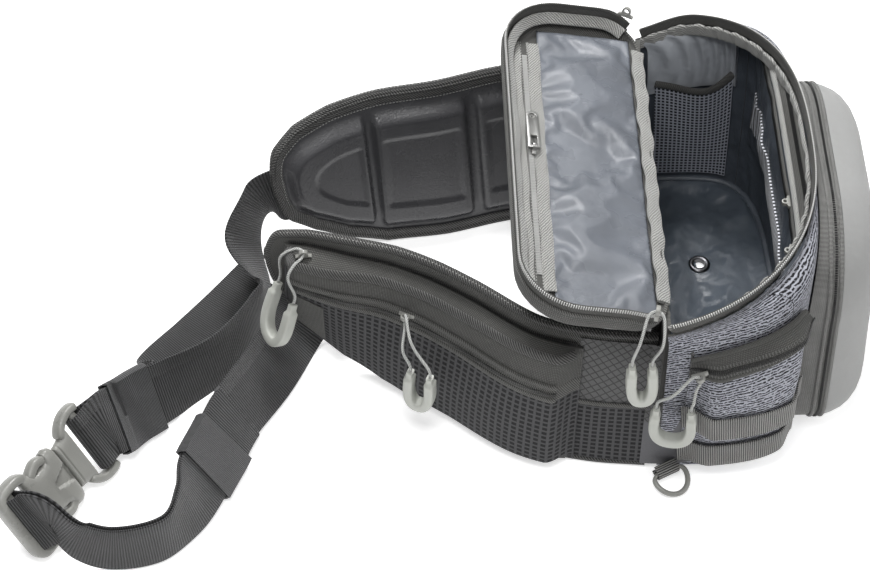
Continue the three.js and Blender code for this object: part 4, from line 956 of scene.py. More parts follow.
# %% Lid bands
POCKET_ZIP_A = 90.6
BANDS = [
    {"name": "lid_band_near_lining", "a": 83.5, "width": 9.5, "c": 5.2, "look": "fuzzy", "node": None},
    {"name": "lid_band_near_edge", "a": 97.5, "width": 8.5, "c": 5.0, "look": "fuzzy", "node": None},
    {"name": "lid_pocket_zip_tape", "a": POCKET_ZIP_A, "width": 6.5, "c": 4.9, "look": "zip_tape",
     "node": "lid_pocket_zip"},
]
band_y, zip_y, hinge_y = (np.linspace(-end, end, k) for end, k in ((118, 120), (104, 60), (120, 150)))
for band in BANDS:
    a, c, width = band["a"], band["c"], band["width"]
    line = [lid(a + 0.4 * math.sin(y / 9), y, c + 0.25 * math.sin(y / 5)) for y in band_y]
    tape(band["name"], line, LID_UP, flat_profile(width, 1.4), band["look"], "zip_tape", node=band["node"])
    seams = [[lid(a + k * (width / 2 - 1), y, c + 0.8) for y in band_y] for k in (-1, 1)]
    row(band["name"] + "_stitch", [(line, LID_UP) for line in seams], BAND_STITCH, "stitch")
coil = [lid(POCKET_ZIP_A, y, 5.9) for y in zip_y]
row("lid_pocket_zip_coil", [(coil, LID_UP)], (1.5, 0.85, 3.6, 1.6), "coil")
line = [lid(3.2 + 0.5 * math.sin(y / 7), y, 6.6 + 0.5 * math.sin(y / 5.1 + 1)) for y in hinge_y]
tape("hinge_seam_tape", line, LID_UP - LID_OUT * 0.3, flat_profile(10.5, 2.8), "fuzzy",
     widths=1 + 0.1 * np.sin(hinge_y / 3.7), node="lid_hinge_binding")
print("lid bands", len(BANDS))

# %% [markdown]
# ## Belt wings
# A wing leaves the bag's corner, bends and narrows to a rounded tip. The rows of the table are places
# along it with its lower and upper height, the same as in the solids. A class keeps the form, so that
# every piece of the wing asks it for a place and the way the wing faces there.

# %% Wing form
PAD, WING_MIDDLE, CURL_FROM, CURL_INSET = 12, 62, 0.955, 13
WING_ROWS = {
    "left": [
        (-60, -133, 3, 132), (-103, -127, 2, 131), (-146, -113, 1, 130), (-193, -78, 1, 130),
        (-220, -60, 1, 130), (-246, -47, 7, 130), (-277, -36, 20, 128), (-309, -25, 44, 125),
        (-339, -17, 80, 117),
    ],
    "right": [
        (-60, 135, 3, 136), (-100, 131, 2, 135), (-130, 126, 1, 134), (-162, 120, 1, 134),
        (-204, 109, 1, 133), (-252, 101, 3, 132), (-284, 90, 16, 130), (-309, 78, 34, 124),
        (-331, 64, 58, 108),
    ],
}


class Wing:
    def __init__(self, side, sign, lean):
        self.rows, self.sign, self.tip = WING_ROWS[side], sign, sign * lean
        self.plan = Curve([(x, y, 0) for x, y, _, _ in self.rows])

    def base(self, u, v):
        """The place a share u along the wing and v up it, and the way its outside faces there."""
        w = min(max(u, 0), 1)
        p, t = self.plan.at(w), self.plan.tangent(w)
        n = unit(v3(t[1], -t[0], 0))
        n = n if n[1] * self.sign > 0 else -n
        last = len(self.rows) - 1
        k = min(last - 1, int(w * last))
        low, high = (mix(self.rows[k][c], self.rows[k + 1][c], w * last - k) for c in (2, 3))
        curl = max(0.0, (w - CURL_FROM) / (1 - CURL_FROM))
        inset = CURL_INSET * (1 - math.sqrt(max(0.0, 1 - curl * curl)))
        z = mix(low + inset, high - inset, v)
        x, y, _ = p + n * self.tip * (z - WING_MIDDLE)
        return v3(x, y, z), n

    def at(self, u, v, o=0.0):
        p, n = self.base(u, v)
        return p + n * o

    def line(self, places, o):
        return np.array([self.at(u, v, o) for u, v in places])

    def away(self, places):
        return np.array([self.base(u, v)[1] for u, v in places])

    def height(self, u):
        return self.at(u, 1)[2] - self.at(u, 0)[2]


WING = {"left": Wing("left", -1, 0.14), "right": Wing("right", 1, 0.28)}
print("wing heights at the root", [round(float(wing.height(0))) for wing in WING.values()])

# %% [markdown]
# ## Wing pads
# The pad is moulded foam with a bound edge. Its inside has panels between grooves, and a stitch runs
# along the binding. Light dashes along its top edge are painted highlights on the binding's twill.
# Moulded foam keeps its shape, so its depth is a plain rule: the distance to the edge and to the
# nearest groove.

# %% Wing pads
GROOVES, RUN, FLANGE, BLOCK, BINDING, CORNER = (0.21, 0.43, 0.65), 300, 4.5, 8, 9, 12
EDGES = (
    ("edge", 0.3, 2.6, round_profile(2.6, 3.2, 2.6)),
    ("edge_tape", BINDING / 2, FLANGE + 0.3, flat_profile(BINDING, 2.0)),
)


def edge_gap(wing, u, v):
    """Distance from a place on a wing to its edge, rounded at the corners."""
    h = wing.height(u)
    gaps = [max(g, 0.05) for g in (v * h, (1 - v) * h, (1 - u) * RUN)]
    return sum(g ** -4 for g in gaps) ** -0.25


def pad_inside(wing, u, v):
    gap, cut = edge_gap(wing, u, v), min(abs(u - g) * RUN for g in GROOVES)
    block = smooth(11, 23, gap) * (0.1 + 0.9 * smooth(2, 6.5, cut))
    panel = smooth(34, 36.5, gap) * smooth(9, 11.5, cut)
    return -FLANGE - BLOCK * block + 1.5 * panel


def pad_outside(_, v):
    return -0.1 - 1.6 * (1 - smooth(0, 0.04, v) * (1 - smooth(0.96, 1, v)))


def edge_loop(wing, gap):
    """Places at an even distance from a wing's edge: along the top, round the tip and back below."""
    top = [(u, gap) for u in np.linspace(0, 1 - (gap + CORNER) / RUN, 110)[:-1]]
    for g in np.linspace(0, math.pi / 2, 12):
        top.append((1 - (gap + CORNER - CORNER * math.sin(g)) / RUN, gap + CORNER - CORNER * math.cos(g)))
    places = [(u, 1 - g / wing.height(u)) for u, g in top]
    return places + [(u, g / wing.height(u)) for u, g in reversed(top)]


tip_us = CURL_FROM + (1 - CURL_FROM) * np.sin(np.linspace(0.1, math.pi / 2, 12))
pad_us = np.concatenate([np.linspace(0, CURL_FROM, 150), tip_us])
pad_vs = np.concatenate([[0], np.linspace(0.012, 0.988, 84), [1]])
for side, wing in WING.items():
    face = spread(wing.at, pad_us, pad_vs, lambda u, v: pad_inside(wing, u, v))
    rear = spread(wing.at, pad_us, pad_vs, pad_outside)
    piece = sheet(f"wing_foam_{side}", face, rear, ("foam", "twill", "edge"), sharp=60, slot="pad_foam",
                  node=f"wing_pad_{side}")
    for name, gap, depth, profile in EDGES:
        loop = edge_loop(wing, gap)
        tape(f"wing_{name}_{side}", wing.line(loop, -depth), wing.away(loop), profile, "edge")
    loop = edge_loop(wing, BINDING - 0.8)
    inner, facing = wing.line(loop, -FLANGE - 1.3), -wing.away(loop)
    row(f"wing_seam_stitch_{side}", [(inner, facing)], SEAM_STITCH, "stitch")
    # Light thread blocks along the top edge stand for painted highlights on the binding's twill.
    top = wing.line([(u, 1) for u in np.linspace(0.02, 0.955, 120)], -1.6) + UP * 2
    row(f"wing_top_highlight_dashes_{side}", [(top, UP)], (2.8, 1.6, 0.8, 0.6), "stitch")
    print("wing", side, "length", round(float(steps_of(top).sum())), "mm")

# %% [markdown]
# ## Wing pockets
# The outside of each wing carries a zip pocket: a mesh panel below, a slanting zip band with bound
# edges, and a plain cover with a bound lip above. A second zip lies along the top. All follow one
# bulge, and the far wing's pocket is a little shorter and lower.

# %% Wing pockets
REACH, POCKET_LIFT = {"left": (1, 1), "right": (0.8, 0.93)}, 0.75


def pocket_rise(u, v):
    along = smooth(0.15, 0.2, u) * (1 - smooth(0.89, 0.94, u))
    sides = smooth(0.02, 0.07, v) * (1 - smooth(0.86, 0.9, v))
    tip = 7 * smooth(0.6, 0.85, u) * smooth(0.3, 0.9, v)
    low = 4.5 * (1 - smooth(0.5, 0.8, u)) * (1 - smooth(0, 0.6, v))
    return along * sides * (8 + 8 * math.sin(math.pi * v) + tip + low)


def zip_v(u):
    return 0.63 + 0.05 * math.sin(math.pi * (u - 0.15) / 0.79)


def strip_reach(name, u):
    """The lower and upper end of a strip of the pocket at a place along it."""
    z = zip_v(u)
    return {"mesh": (0.022, z - 0.045), "zip_band": (z - 0.05, z + 0.05), "cover": (z + 0.045, 0.9)}[name]


STRIPS = (("mesh", "mesh", 0.0, 26), ("zip_band", "twill", 1.0, 10), ("cover", "cloth", 0.0, 22))
strip_us = np.linspace(0.15, 0.94, 130)
for side, wing in WING.items():
    reach_u, reach_v = REACH[side]

    def on_pocket(u, v, o):
        return wing.at(u * reach_u, v * reach_v, POCKET_LIFT + pocket_rise(u, v) + o)

    for name, look_name, swell, rows in STRIPS:
        def up_strip(u, k):
            return mix(*strip_reach(name, u), k)

        def slack(u, k):
            return 1.9 + 0.35 * math.sin(41 * u + 6 * up_strip(u, k)) * hump(k) + swell * hump(k) ** 0.5

        layered(f"wing_pocket_{name}_{side}", lambda u, k, o: on_pocket(u, up_strip(u, k), o), strip_us,
                np.linspace(0, 1, rows), slack, 0.1, (look_name,) * 2, sharp=70, slot="cloth",
                node=f"wing_pocket_{side}" if name == "mesh" else None)
    us = np.linspace(0.19, 0.9, 120)
    away = wing.away([(u * reach_u, 0.6) for u in us])
    coil = [on_pocket(u, zip_v(u), 3.2) for u in us]
    row(f"wing_zip_coil_{side}", [(coil, away)], WING_COIL, "dark_coil")
    for edge_name, dv in (("low", -0.045), ("high", 0.045)):
        line = [on_pocket(u, zip_v(u) + dv, 2.3) for u in us]
        tape(f"wing_zip_{edge_name}_binding_{side}", line, away, round_profile(2.6, 1.2, 2.4), "twill")
    us = np.linspace(0.165, 0.925, 120)
    away = wing.away([(u * reach_u, 0.9) for u in us])
    lip = [on_pocket(u, 0.862, 1.5) + UP * (1.2 + 0.7 * math.sin(29 * u)) for u in us]
    tape(f"wing_pocket_lip_{side}", lip, away + UP * 0.5, round_profile(3.6, 1.7, 2.4), "edge")
    top = wing.line([(u * reach_u, 0.915 * reach_v) for u in us], 1.4)
    row(f"wing_top_zip_{side}", [(top, away)], (1.6, 0.9, 3.6, 1.6), "dark_coil")
    hem = [on_pocket(u, 0.034, 1.4) for u in us]
    tape(f"wing_pocket_hem_{side}", hem, away, round_profile(3.0, 1.5, 2.4), "twill")
print("wing pockets made")

# %% [markdown]
# ## Wing roots and tip patches
# The root of each wing is ripstop cloth above and mesh below, with a hem between them. A plain patch
# is sewn over the pocket's tip. A smooth pad and ripstop cloth bridge the wing and the bag's corner.
# They are thin sheets on the same surfaces.

# %% Roots and tips
root_us, ROOT_HEM = np.linspace(0.004, 0.158, 24), 0.48
ROOTS = (
    ("root", np.linspace(ROOT_HEM, 0.965, 24), "ripstop", "cloth"),
    ("root_mesh", np.linspace(0.03, ROOT_HEM, 20), "mesh", "mesh_cloth"),
)
for side, wing in WING.items():
    outside = wing.at(0.1, 0.5, -300)
    for name, vs, look_name, slot in ROOTS:
        points = spread(wing.at, root_us, vs, lambda u, v: 0.8 + 0.3 * math.sin(40 * u + 7 * v))
        thin_sheet(f"wing_{name}_{side}", points, outside, look_name, slot=slot)
    hem = wing.line([(u, ROOT_HEM) for u in np.linspace(0.006, 0.156, 24)], 1.6)
    tape(f"wing_root_hem_{side}", hem, wing.base(0.08, 0.5)[1], round_profile(2.2, 0.9, 2.4), "twill")
    patch = spread(lambda u, v, o: wing.at(u * REACH[side][0], v, o), np.linspace(0.8, 0.9, 16),
                   np.linspace(0.1, 0.52, 24), lambda u, v: POCKET_LIFT + pocket_rise(u, v) + 2.9)
    thin_sheet(f"wing_tip_patch_{side}", patch, outside, "cloth", slot="cloth")
    near = wing.line([(0.012, v) for v in np.linspace(0.02, 0.97, 40)], 1.6)
    far = np.array([wall(wing.sign * 0.96, max(0.02, p[2] / 168), 0.9) for p in near])
    ks = np.linspace(0, 1, 8)
    swell = [v3(0, wing.sign * 1.2 * hump(k), 0) for k in ks]
    bridge = mix(near[:, None], far[:, None], ks[:, None]) + np.array(swell)
    n = grid_normals(bridge, v3(BACK_X, 0, 60))
    for part, rows, look_name in (("pad", slice(0, 15), "shade_pad"), ("cloth", slice(14, 40), "ripstop")):
        sheet(f"wing_corner_{part}_{side}", bridge[rows], bridge[rows] - n[rows] * THIN, (look_name,) * 2,
              slot="cloth")
print("roots and tips made")

# %% [markdown]
# ## Front pocket
# A ribbed zip band runs round the front compartment, out from the bag's wall. Its outline is a
# rounded shape, wider below than above. A zip coil lies along the band, between two welts.

# %% Front band
FRONT = {"low": 4, "high": 190, "wide": 117, "narrow": 105, "top": 70, "bottom": 34}
BAND_X, SHELL_X = 72, 103


def front_outline(inset, fine=14):
    corners = []
    for y, z, r, start in (
        (FRONT["wide"] - inset, FRONT["low"] + inset, max(5, FRONT["bottom"] - inset * 0.2), -90),
        (FRONT["narrow"] - inset, FRONT["high"] - inset, max(8, FRONT["top"] - inset * 0.4), 0),
    ):
        turn = np.radians(start + np.linspace(0, 90, fine + 1))
        middle = z + r if start < 0 else z - r
        corners.append(np.stack([y - r + r * np.cos(turn), middle + r * np.sin(turn)], -1))
    between = lambda a, b, steps: mix(a, b, np.linspace(0, 1, steps)[1:-1, None])
    half = np.concatenate([corners[0], between(corners[0][-1], corners[1][0], 14), corners[1]])
    other = half[::-1] * (-1, 1)
    return np.concatenate([half, between(half[-1], other[0], 10), other, between(other[-1], half[0], 26)])


def bag_front_x(y, z):
    x = BACK_X + BAG_DEPTH
    for _ in range(10):
        v = height_share(x, z, 1.0, 18)
        _, p, q, width = bag_shape(v)
        t = max(0.2, 1 - (abs(y) / (width * flare(x, v, y))) ** q) ** (1 / p)
        x = mix(x, BACK_X + BAG_DEPTH * t, 0.6)
    return x


ring = front_outline(0)
start_x = [max(bag_front_x(y, z), 44) + 1.4 for y, z in ring]
loop = [*range(len(ring)), 0]
band = layered("front_band", lambda i, k, line: v3(mix(start_x[i], BAND_X, k), *line[i]), loop,
               np.linspace(0, 1, 9), ring, front_outline(2), ("fine_band", "dark_lining", "twill"),
               slot="zip_tape", node="front_zip_band")
ring_away = grid_normals(band, v3(60, 0, 95))[:, 4]


def band_line(x, lift):
    return np.array([v3(x, *ring[i]) for i in loop]) + ring_away * lift


row("front_zip_coil", [(band_line(BAND_X - 5.2, 0.8), ring_away)], (1.7, 0.95, 1.7, 1.6), "dark_coil")
for label, x in (("rear", BAND_X - 9), ("fore", BAND_X - 1.2)):
    tape(f"front_zip_{label}_welt", band_line(x, 0.5)[:-1], ring_away[:-1], round_profile(1.5, 1.1),
         "fine_band", closed=True)
print("front band", len(ring), "points round")

# %% [markdown]
# ## Front cover
# A moulded cover bulges from the band. It is smooth cloth on foam that keeps its shape, so it is a
# bowl lofted through shrinking outlines, with a skin of even thickness.

# %% Front cover
SHELL_SKIN, SHELL_MIDDLE, CROWN = 2.8, (0, 97), (0.0, 0.3, 0.65)
# Inset and share of the depth of each outline, from the crown down to the band.
SHELL = (
    (46, 1.0), (36, 0.975), (26, 0.93), (18, 0.86), (12.5, 0.76), (7.5, 0.6), (4, 0.42), (1.5, 0.2),
    (0, 0.0),
)


def cover_ring(inset, depth, lower, shrink=1.0):
    line = mix(np.array(SHELL_MIDDLE), front_outline(inset), shrink)
    x = mix(BAND_X + 0.5, SHELL_X - 0.1, depth) - lower
    return np.array([v3(x, y, z) for y, z in (*line, line[0])])


outer = [cover_ring(46, 1.0, 0, k) for k in CROWN] + [cover_ring(i, d, 0) for i, d in SHELL]
inner = [cover_ring(47.4, 1.0, SHELL_SKIN, k) for k in CROWN]
inner += [cover_ring(i + SHELL_SKIN * (1 - 0.5 * d), d, SHELL_SKIN if d > 0 else 0) for i, d in SHELL]
piece = sheet("front_cover", np.array(outer), np.array(inner), ("shell", "dark_lining", "shell"), sharp=70,
              slot="shell_foam", node="front_shell")
print("front cover", len(outer), "outlines")

# %% [markdown]
# ## Side pockets
# On each side a knit pocket bulges from the wall, closed by a hooded zip and crossed by two flat
# webbing bands. Zip and bands follow the same bulge, so nothing floats off it. The hood's front end
# is rounded, and two dark stitches run beside its coil.

# %% Side form
SIDE = {"back": -38, "front": 40, "low": 14, "top": 118, "rise": 0.42}


def side_top(x):
    return SIDE["top"] + SIDE["rise"] * (x - SIDE["back"])


def side_wall(sign):
    def base(x, z):
        v = height_share(x, z, 0.98, 22)
        _, p, q, width = bag_shape(v)
        t = max(0, (x - BACK_X) / BAG_DEPTH)
        return v3(x, sign * width * max(1e-6, 1 - t ** p) ** (1 / q) * flare(x, v, sign), z)

    def at(x, z, o):
        h = 1e-2
        n = unit(np.cross(base(x + h, z) - base(x - h, z), base(x, z + h) - base(x, z - h)))
        return base(x, z) + (n if n[1] * sign > 0 else -n) * o

    return at


def side_rise(x, z):
    k = (z - SIDE["low"]) / (side_top(x) - SIDE["low"])
    front_end = smooth(SIDE["front"] - 12, SIDE["front"], x)
    ends = smooth(SIDE["back"], SIDE["back"] + 22, x) * (1 - front_end * 0.8)
    return ends * (13 * hump(min(1, k * 0.72)) + 2 * k)


def hood(x, k):
    return 4 * hump(k) * smooth(-10, 30, x)


def hood_height(x):
    end = min(max((x - 16) / 24, 0), 1)
    return 17 * (0.36 + 0.64 * math.sqrt(1 - end ** 2))


print("side pocket top", side_top(SIDE["back"]), round(side_top(SIDE["front"]), 1))

# %% Side pockets
side_xs, SIDE_PIPING = np.linspace(-37.8, 39.8, 44), round_profile(1.9, 1.3)
for side, sign in SIDES:
    at = side_wall(sign)

    def pocket(x, k, o):
        z = mix(SIDE["low"], side_top(x), k)
        return at(x, z, o + side_rise(x, z))

    def strip(x, k, o):
        edge = side_rise(x, side_top(x)) * (1 - 0.9 * k ** 2)
        return at(x, side_top(x) + 0.6 + hood_height(x) * k, o + 0.8 + edge + hood(x, k))

    layered(f"side_pocket_knit_{side}", pocket, side_xs, np.linspace(0, 1, 40),
            lambda x, k: 2.5 + 0.3 * math.sin(x / 5 + 9 * k), 0.9, KNIT_WALL, slot="knit_cloth",
            node=f"side_pocket_{side}")
    front = layered(f"side_zip_hood_{side}", strip, side_xs, np.linspace(0, 1, 16), 2.0, 0.1,
                    ("cloth", "cloth"), slot="zip_tape", node=f"side_zip_{side}")
    away = grid_normals(front, v3(0, 0, 140))
    for label, j in (("low", 0), ("top", -1)):
        tape(f"side_zip_{label}_piping_{side}", front[:, j], away[:, j], SIDE_PIPING, "zip_tape")
    row(f"side_zip_coil_{side}", [(front[:, 6] + away[:, 6] * 0.6, away[:, 6])], SMALL_COIL, "dark_coil")
    seams = [(front[2:-2, j] + away[2:-2, j] * 0.2, away[2:-2, j]) for j in (3, 9)]
    row(f"side_zip_stitch_{side}", seams, (2.3, 0.8, 2.6, 0.5), "dark_stitch")
    for level, z_at in (("upper", 70), ("lower", 28)):
        spots = [(x, z_at + 0.1 * (x + 38)) for x in np.linspace(-40, 41, 50)]
        rises = [max(side_rise(x, z + d) for d in (-13, -6, 0, 6, 13)) for x, z in spots]
        line, above = (np.array([at(x, z, o + r) for (x, z), r in zip(spots, rises)]) for o in (4.7, 5.7))
        tape(f"side_band_{level}_{side}", line, (above - line) * (1, 1, 0), flat_profile(25, 1.6), "band",
             "webbing", node=f"side_webbing_{level}_{side}")
print("side pockets made")

# %% [markdown]
# ## Inside the far wall
# The far wall carries a net pocket with a bound, sagging top, and gathered lining shows above it. Both
# are offsets of the wall itself, so they follow it closely.

# %% Far wall
def end_pocket(turn, k, o):
    sag = 0.08 * hump(min(max((turn - 0.62) / 0.36, 0), 1))
    slack = 4 * k * hump((turn - 0.6) / 0.39)
    return wall(turn, mix(0.06, 0.62 - sag, k), -WALL - 0.8 - slack - o)


def gathered(turn, k, o):
    return wall(turn, mix(0.55, 0.965, k), -WALL - o)


def gather(t, k):
    return 1.5 * math.sin(95 * t + 1.5 * math.sin(5 * k)) * hump(min(1, k * 1.1)) + 2.4 * hump(k)


front = layered("end_net_pocket", end_pocket, np.linspace(0.62, 0.97, 50), np.linspace(0, 1, 36), 1.4, 0.2,
                ("net", "net"), slot="mesh_cloth", node="end_pocket")
away = grid_normals(front, v3(-10, 400, 60))
tape("end_pocket_binding", front[:, -1], -away[:, -1], round_profile(3.4, 1.3, 2.4), "twill")
layered("end_gathered_lining", gathered, np.linspace(0.6, 0.985, 90), np.linspace(0, 1, 26),
        lambda t, k: 1.8 + gather(t, k), 0.3, ("pale_lining", "pale_lining"), slot="lining_cloth")
print("far wall dressed")

# %% [markdown]
# ## Inside the front wall
# The front wall has a slack zip pocket with a striped elastic band, and a second zip in its mouth.
# The slack is a smooth bulge from the wall with creases on it.

# %% Front wall
ZIP_ROW, TOP_ROW = 29, 33


def front_pocket(turn, k, o):
    slack = hump((turn + 0.44) / 0.88)
    return wall(turn, mix(0.3, 0.86, k), -WALL - 1.4 - slack * (4 + 10 * hump(k * 0.8)) - o)


def crease(t, k):
    return (1.1 * math.sin(33 * t + 8 * k) + 0.7 * math.sin(70 * t - 11 * k)) * hump(k)


front = layered("front_wall_pocket", front_pocket, np.linspace(-0.44, 0.44, 100), np.linspace(0, 1, 34),
                lambda t, k: 1.4 + crease(t, k), 0.1, ("dark_lining", "dark_lining"), slot="lining_cloth",
                node="front_inner_pocket")
away = grid_normals(front, v3(400, 0, 60))
TAPES = (
    ("zip", ZIP_ROW, "twill", round_profile(4.6, 0.9)), ("top", TOP_ROW, "fuzzy", round_profile(3.2, 1.6)),
)
for label, j, look_name, profile in TAPES:
    line = front[:, j] + away[:, j] * 0.5
    tape(f"front_pocket_{label}", line, away[:, j], profile, look_name, "zip_tape")
layered("front_pocket_elastic", front_pocket, np.linspace(-0.38, 0.4, 90), np.linspace(0.2, 0.52, 12),
        lambda t, k: 3.0 + crease(t, k), lambda t, k: 1.5 + crease(t, k), ("striped", "striped"),
        slot="elastic")
ts, ks = np.linspace(-0.43, 0.43, 110), np.linspace(0, 1, 12)
low, high = (np.array(line)[:, None] for line in (
    [front_pocket(t, 1.0, 1.0) for t in ts], [wall(t, 0.965, -WALL - 0.6) for t in ts]))
mouth = mix(low, high, ks[:, None])
n = grid_normals(mouth, v3(60, 0, 60))
mouth = mouth + n * np.array([[[1.1 * math.sin(26 * t + 2 * k) * hump(k)] for k in ks] for t in ts])
sheet("front_pocket_mouth", mouth, mouth - n * THIN, ("zip_tape", "zip_tape"), slot="zip_tape")
row("front_mouth_coil", [(mouth[:, 6] + n[:, 6] * 0.7, n[:, 6])], (1.6, 0.9, 3.0, 1.3), "dark_coil")
zip_away = away[:, ZIP_ROW]
row("front_pocket_coil", [(front[:, ZIP_ROW] + zip_away * 1.6, zip_away)], SMALL_COIL, "dark_coil")
print("inner pockets made")

# %% [markdown]
# ## Back pad
# The pad on the wearer's side is moulded foam with two upright channels. Moulded foam keeps its
# shape, so its depth is a plain rule: full between the channels and thin at the bound rim.

# %% Back pad
def pad_depth(y, z):
    rim_fade = smooth(0, 14, 112 - abs(y)) * smooth(6, 20, z) * (1 - smooth(138, 152, z))
    return 6 + 7 * rim_fade * min(1, smooth(0, 7, abs(abs(y) - 40)))


def pad_face(y, z):
    return -0.4 - pad_depth(y, z) - 0.25 * math.sin(y / 9) * math.sin(z / 11)


ys, zs = np.linspace(-111.8, 111.8, 90), np.linspace(6.2, 151.8, 60)
piece = sheet("back_padding", spread(back_plane, ys, zs, pad_face), spread(back_plane, ys, zs, -0.45),
              ("foam", "cloth", "twill"), sharp=60, slot="pad_foam", node="back_pad")
loop = [(y, 6.5) for y in np.linspace(-111, 111, 60)] + [(111.5, z) for z in np.linspace(7, 151, 40)]
loop += [(y, 151.5) for y in np.linspace(111, -111, 60)] + [(-111.5, z) for z in np.linspace(151, 7, 40)]
piping = [back_plane(y, z, -3.6) for y, z in loop]
tape("back_pad_piping", piping, v3(-1, 0, 0), round_profile(1.9, 3.0, 2.4), "edge", closed=True)
print("back pad made")

# %% [markdown]
# ## Belt straps
# Two runs of webbing leave the wing tips, lie on the table, turn round the buckle's bars and come
# back as second layers. Each run is a table of lower edges and leans, as in the solids. Webbing is
# swept directly, because a simulation would melt its crisp edges.

# %% Strap helpers
WEBBING, THICK, LAYER_GAP, TURN_RADIUS, BAR_AT = 50, 1.8, 3.2, 5.7, 40
ALONG = unit(v3(-0.51, -0.86, 0))
ACROSS = unit(v3(0.53, -0.15, -0.83) + ALONG * 0.141)
AWAY = unit(np.cross(ALONG, ACROSS))
BUCKLE, UPRIGHT = v3(-489, -161.5, 30.2), -ACROSS


def buckle_at(l, w, n):
    return BUCKLE + ALONG * l + ACROSS * w + AWAY * n


def edge_row(x, y, z, *lean):
    w = unit(v3(*lean))
    return v3(x, y, z) + w * WEBBING / 2, w


def wing_row(side, u, z, o):
    wing = WING[side]
    v = (z - wing.at(u, 0)[2]) / wing.height(u)
    c = wing.at(u, v, o)
    return c, unit(wing.at(u, v + 0.05, o) - c)


def bar_row(l, w, n):
    return buckle_at(l, w, n), UPRIGHT


def run(rows, count):
    centres, leans = (Curve(line).points(count) for line in zip(*rows))
    return centres, unit(leans)


def second_layer(c, w, side, last):
    """The webbing's way back over itself, from near its end to the station last."""
    _, w1, n1 = stations(c, across=w)
    ids = np.arange(len(c) - 3, last - 1, -1)
    near = 1 - smooth(2, 15, np.linalg.norm(c[ids] - c[-1], axis=-1))
    gap = mix(LAYER_GAP, 2 * TURN_RADIUS, near)
    return c[ids] + n1[ids] * (side * gap)[:, None], w1[ids]


def nearest(c, x, y):
    return int(np.argmin(np.hypot(c[:, 0] - x, c[:, 1] - y)))


def belt(side, *runs):
    """One length of webbing through runs of (centres, leans)."""
    c, w = (np.concatenate(part) for part in zip(*runs))
    swept(f"belt_{side}", stations(c, across=w), flat_profile(WEBBING, THICK), "webbing", slot="webbing",
          node=f"strap_{side}")
    print("belt", side, round(float(steps_of(c).sum())), "mm of webbing")


def lean_of(points):
    return np.repeat(UPRIGHT[None], len(points), 0)


print("buckle lies along", ALONG.round(2), "across", ACROSS.round(2))

# %% Strap runs
LEFT_ROWS = [
    wing_row("left", 0.74, 78, -PAD - 3), wing_row("left", 0.8, 78, -PAD - 4.5),
    (v3(-293, 6.5, 57), unit(v3(-0.23, 0.2, 0.96))),
    edge_row(-301, -22, 2.2, -31, 17, 35), edge_row(-322, -66, 2.2, -31, 17, 35),
    edge_row(-349, -110, 4.4, -29, 11, 38), edge_row(-360, -136, 4.4, -29, 10, 38),
    edge_row(-372, -162, 4.4, -28, 8, 39), edge_row(-388, -187, 2.2, -14, 2, 46),
    edge_row(-411, -209, 1.2, 0, 0, 50), edge_row(-447, -217, 1.2, 0, 0, 50),
    (v3(-469, -213, 32), unit(v3(-0.22, 0.1, 0.97))),
    bar_row(BAR_AT - TURN_RADIUS, 0.5, 24), bar_row(BAR_AT - TURN_RADIUS, 0, 10),
    bar_row(BAR_AT - TURN_RADIUS, 0, 1),
]
RIGHT_ROWS = [
    wing_row("right", 0.9, 70, 2.6), wing_row("right", 0.97, 70, 2.6),
    (v3(-347, 70, 64), unit(v3(-0.2, -0.2, 0.96))),
    edge_row(-347, 62, 30, -24, -28, 32), edge_row(-342, 25, 9, -4, -31, 39),
    edge_row(-345, -6, 4, -8, -12, 48), edge_row(-365, -49, 4, -15, -3, 48),
    edge_row(-395, -77, 4.4, -28, 2, 41), edge_row(-418, -97, 7, -31, 6, 39),
    edge_row(-430, -107, 7.2, -31, 7, 39), bar_row(-BAR_AT - 15, 0, TURN_RADIUS + 1),
    bar_row(-BAR_AT - 7, 0, TURN_RADIUS), bar_row(-BAR_AT - 1, 0, TURN_RADIUS),
]
half_turn = [(TURN_RADIUS * math.sin(a), TURN_RADIUS * math.cos(a)) for a in np.linspace(0, math.pi, 12)]
left, right = run(LEFT_ROWS, 200), run(RIGHT_ROWS, 180)
left_turn = np.array([buckle_at(BAR_AT - c, 0, -s) for s, c in half_turn])
left_back = second_layer(*left, -1, nearest(left[0], -361, -102))
belt("left", left, (left_turn, lean_of(left_turn)), left_back)
right_turn = np.array([buckle_at(-BAR_AT + s, 0, c) for s, c in half_turn])
keep = nearest(right[0], -424, -84), nearest(right[0], -450, -108)
right_back = second_layer(*right, 1, keep[0] - 4)
tail = run([
    (right_back[0][-1], right_back[1][-1]), edge_row(-400, -73, 2, -36, 16, 26),
    edge_row(-373, -37, 1.8, -38, 26, 10), edge_row(-349, -3, 1.4, -39, 30, 3),
    edge_row(-327, 27, 1.3, -39, 31, 1),
], 60)
belt("right", right, (right_turn, lean_of(right_turn)), right_back, (tail[0][1:], tail[1][1:]))

# %% [markdown]
# ## Keepers and the folded end
# An elastic band holds the loose end of each strap on the run under it. It is a short sheet wrapped
# round both layers. The near strap's end is folded over, with a thick hem.

# %% Keepers and the folded end
KEEPER = ((-1, -1), (0, -1.06), (1, -1), (1.03, 0), (1, 1), (0, 1.06), (-1, 1), (-1.03, 0), (-1, -1))


def keeper(side, strap, sign, first, last):
    """An elastic band round both layers of a strap, between two of its stations."""
    c, w, n = (part[first:last + 1] for part in stations(strap[0], across=strap[1]))
    middle = c + n * sign * LAYER_GAP / 2

    def band(i, corner, grow):
        x, y = corner
        return middle[i] + w[i] * x * (WEBBING / 2 + 0.9 + grow) + n[i] * y * (LAYER_GAP / 2 + 2.3 + grow)

    layered(f"keeper_band_{side}", band, range(len(c)), KEEPER, 1.1, 0.1, ("elastic", "elastic"), sharp=40,
            slot="elastic", node=f"keeper_{side}")


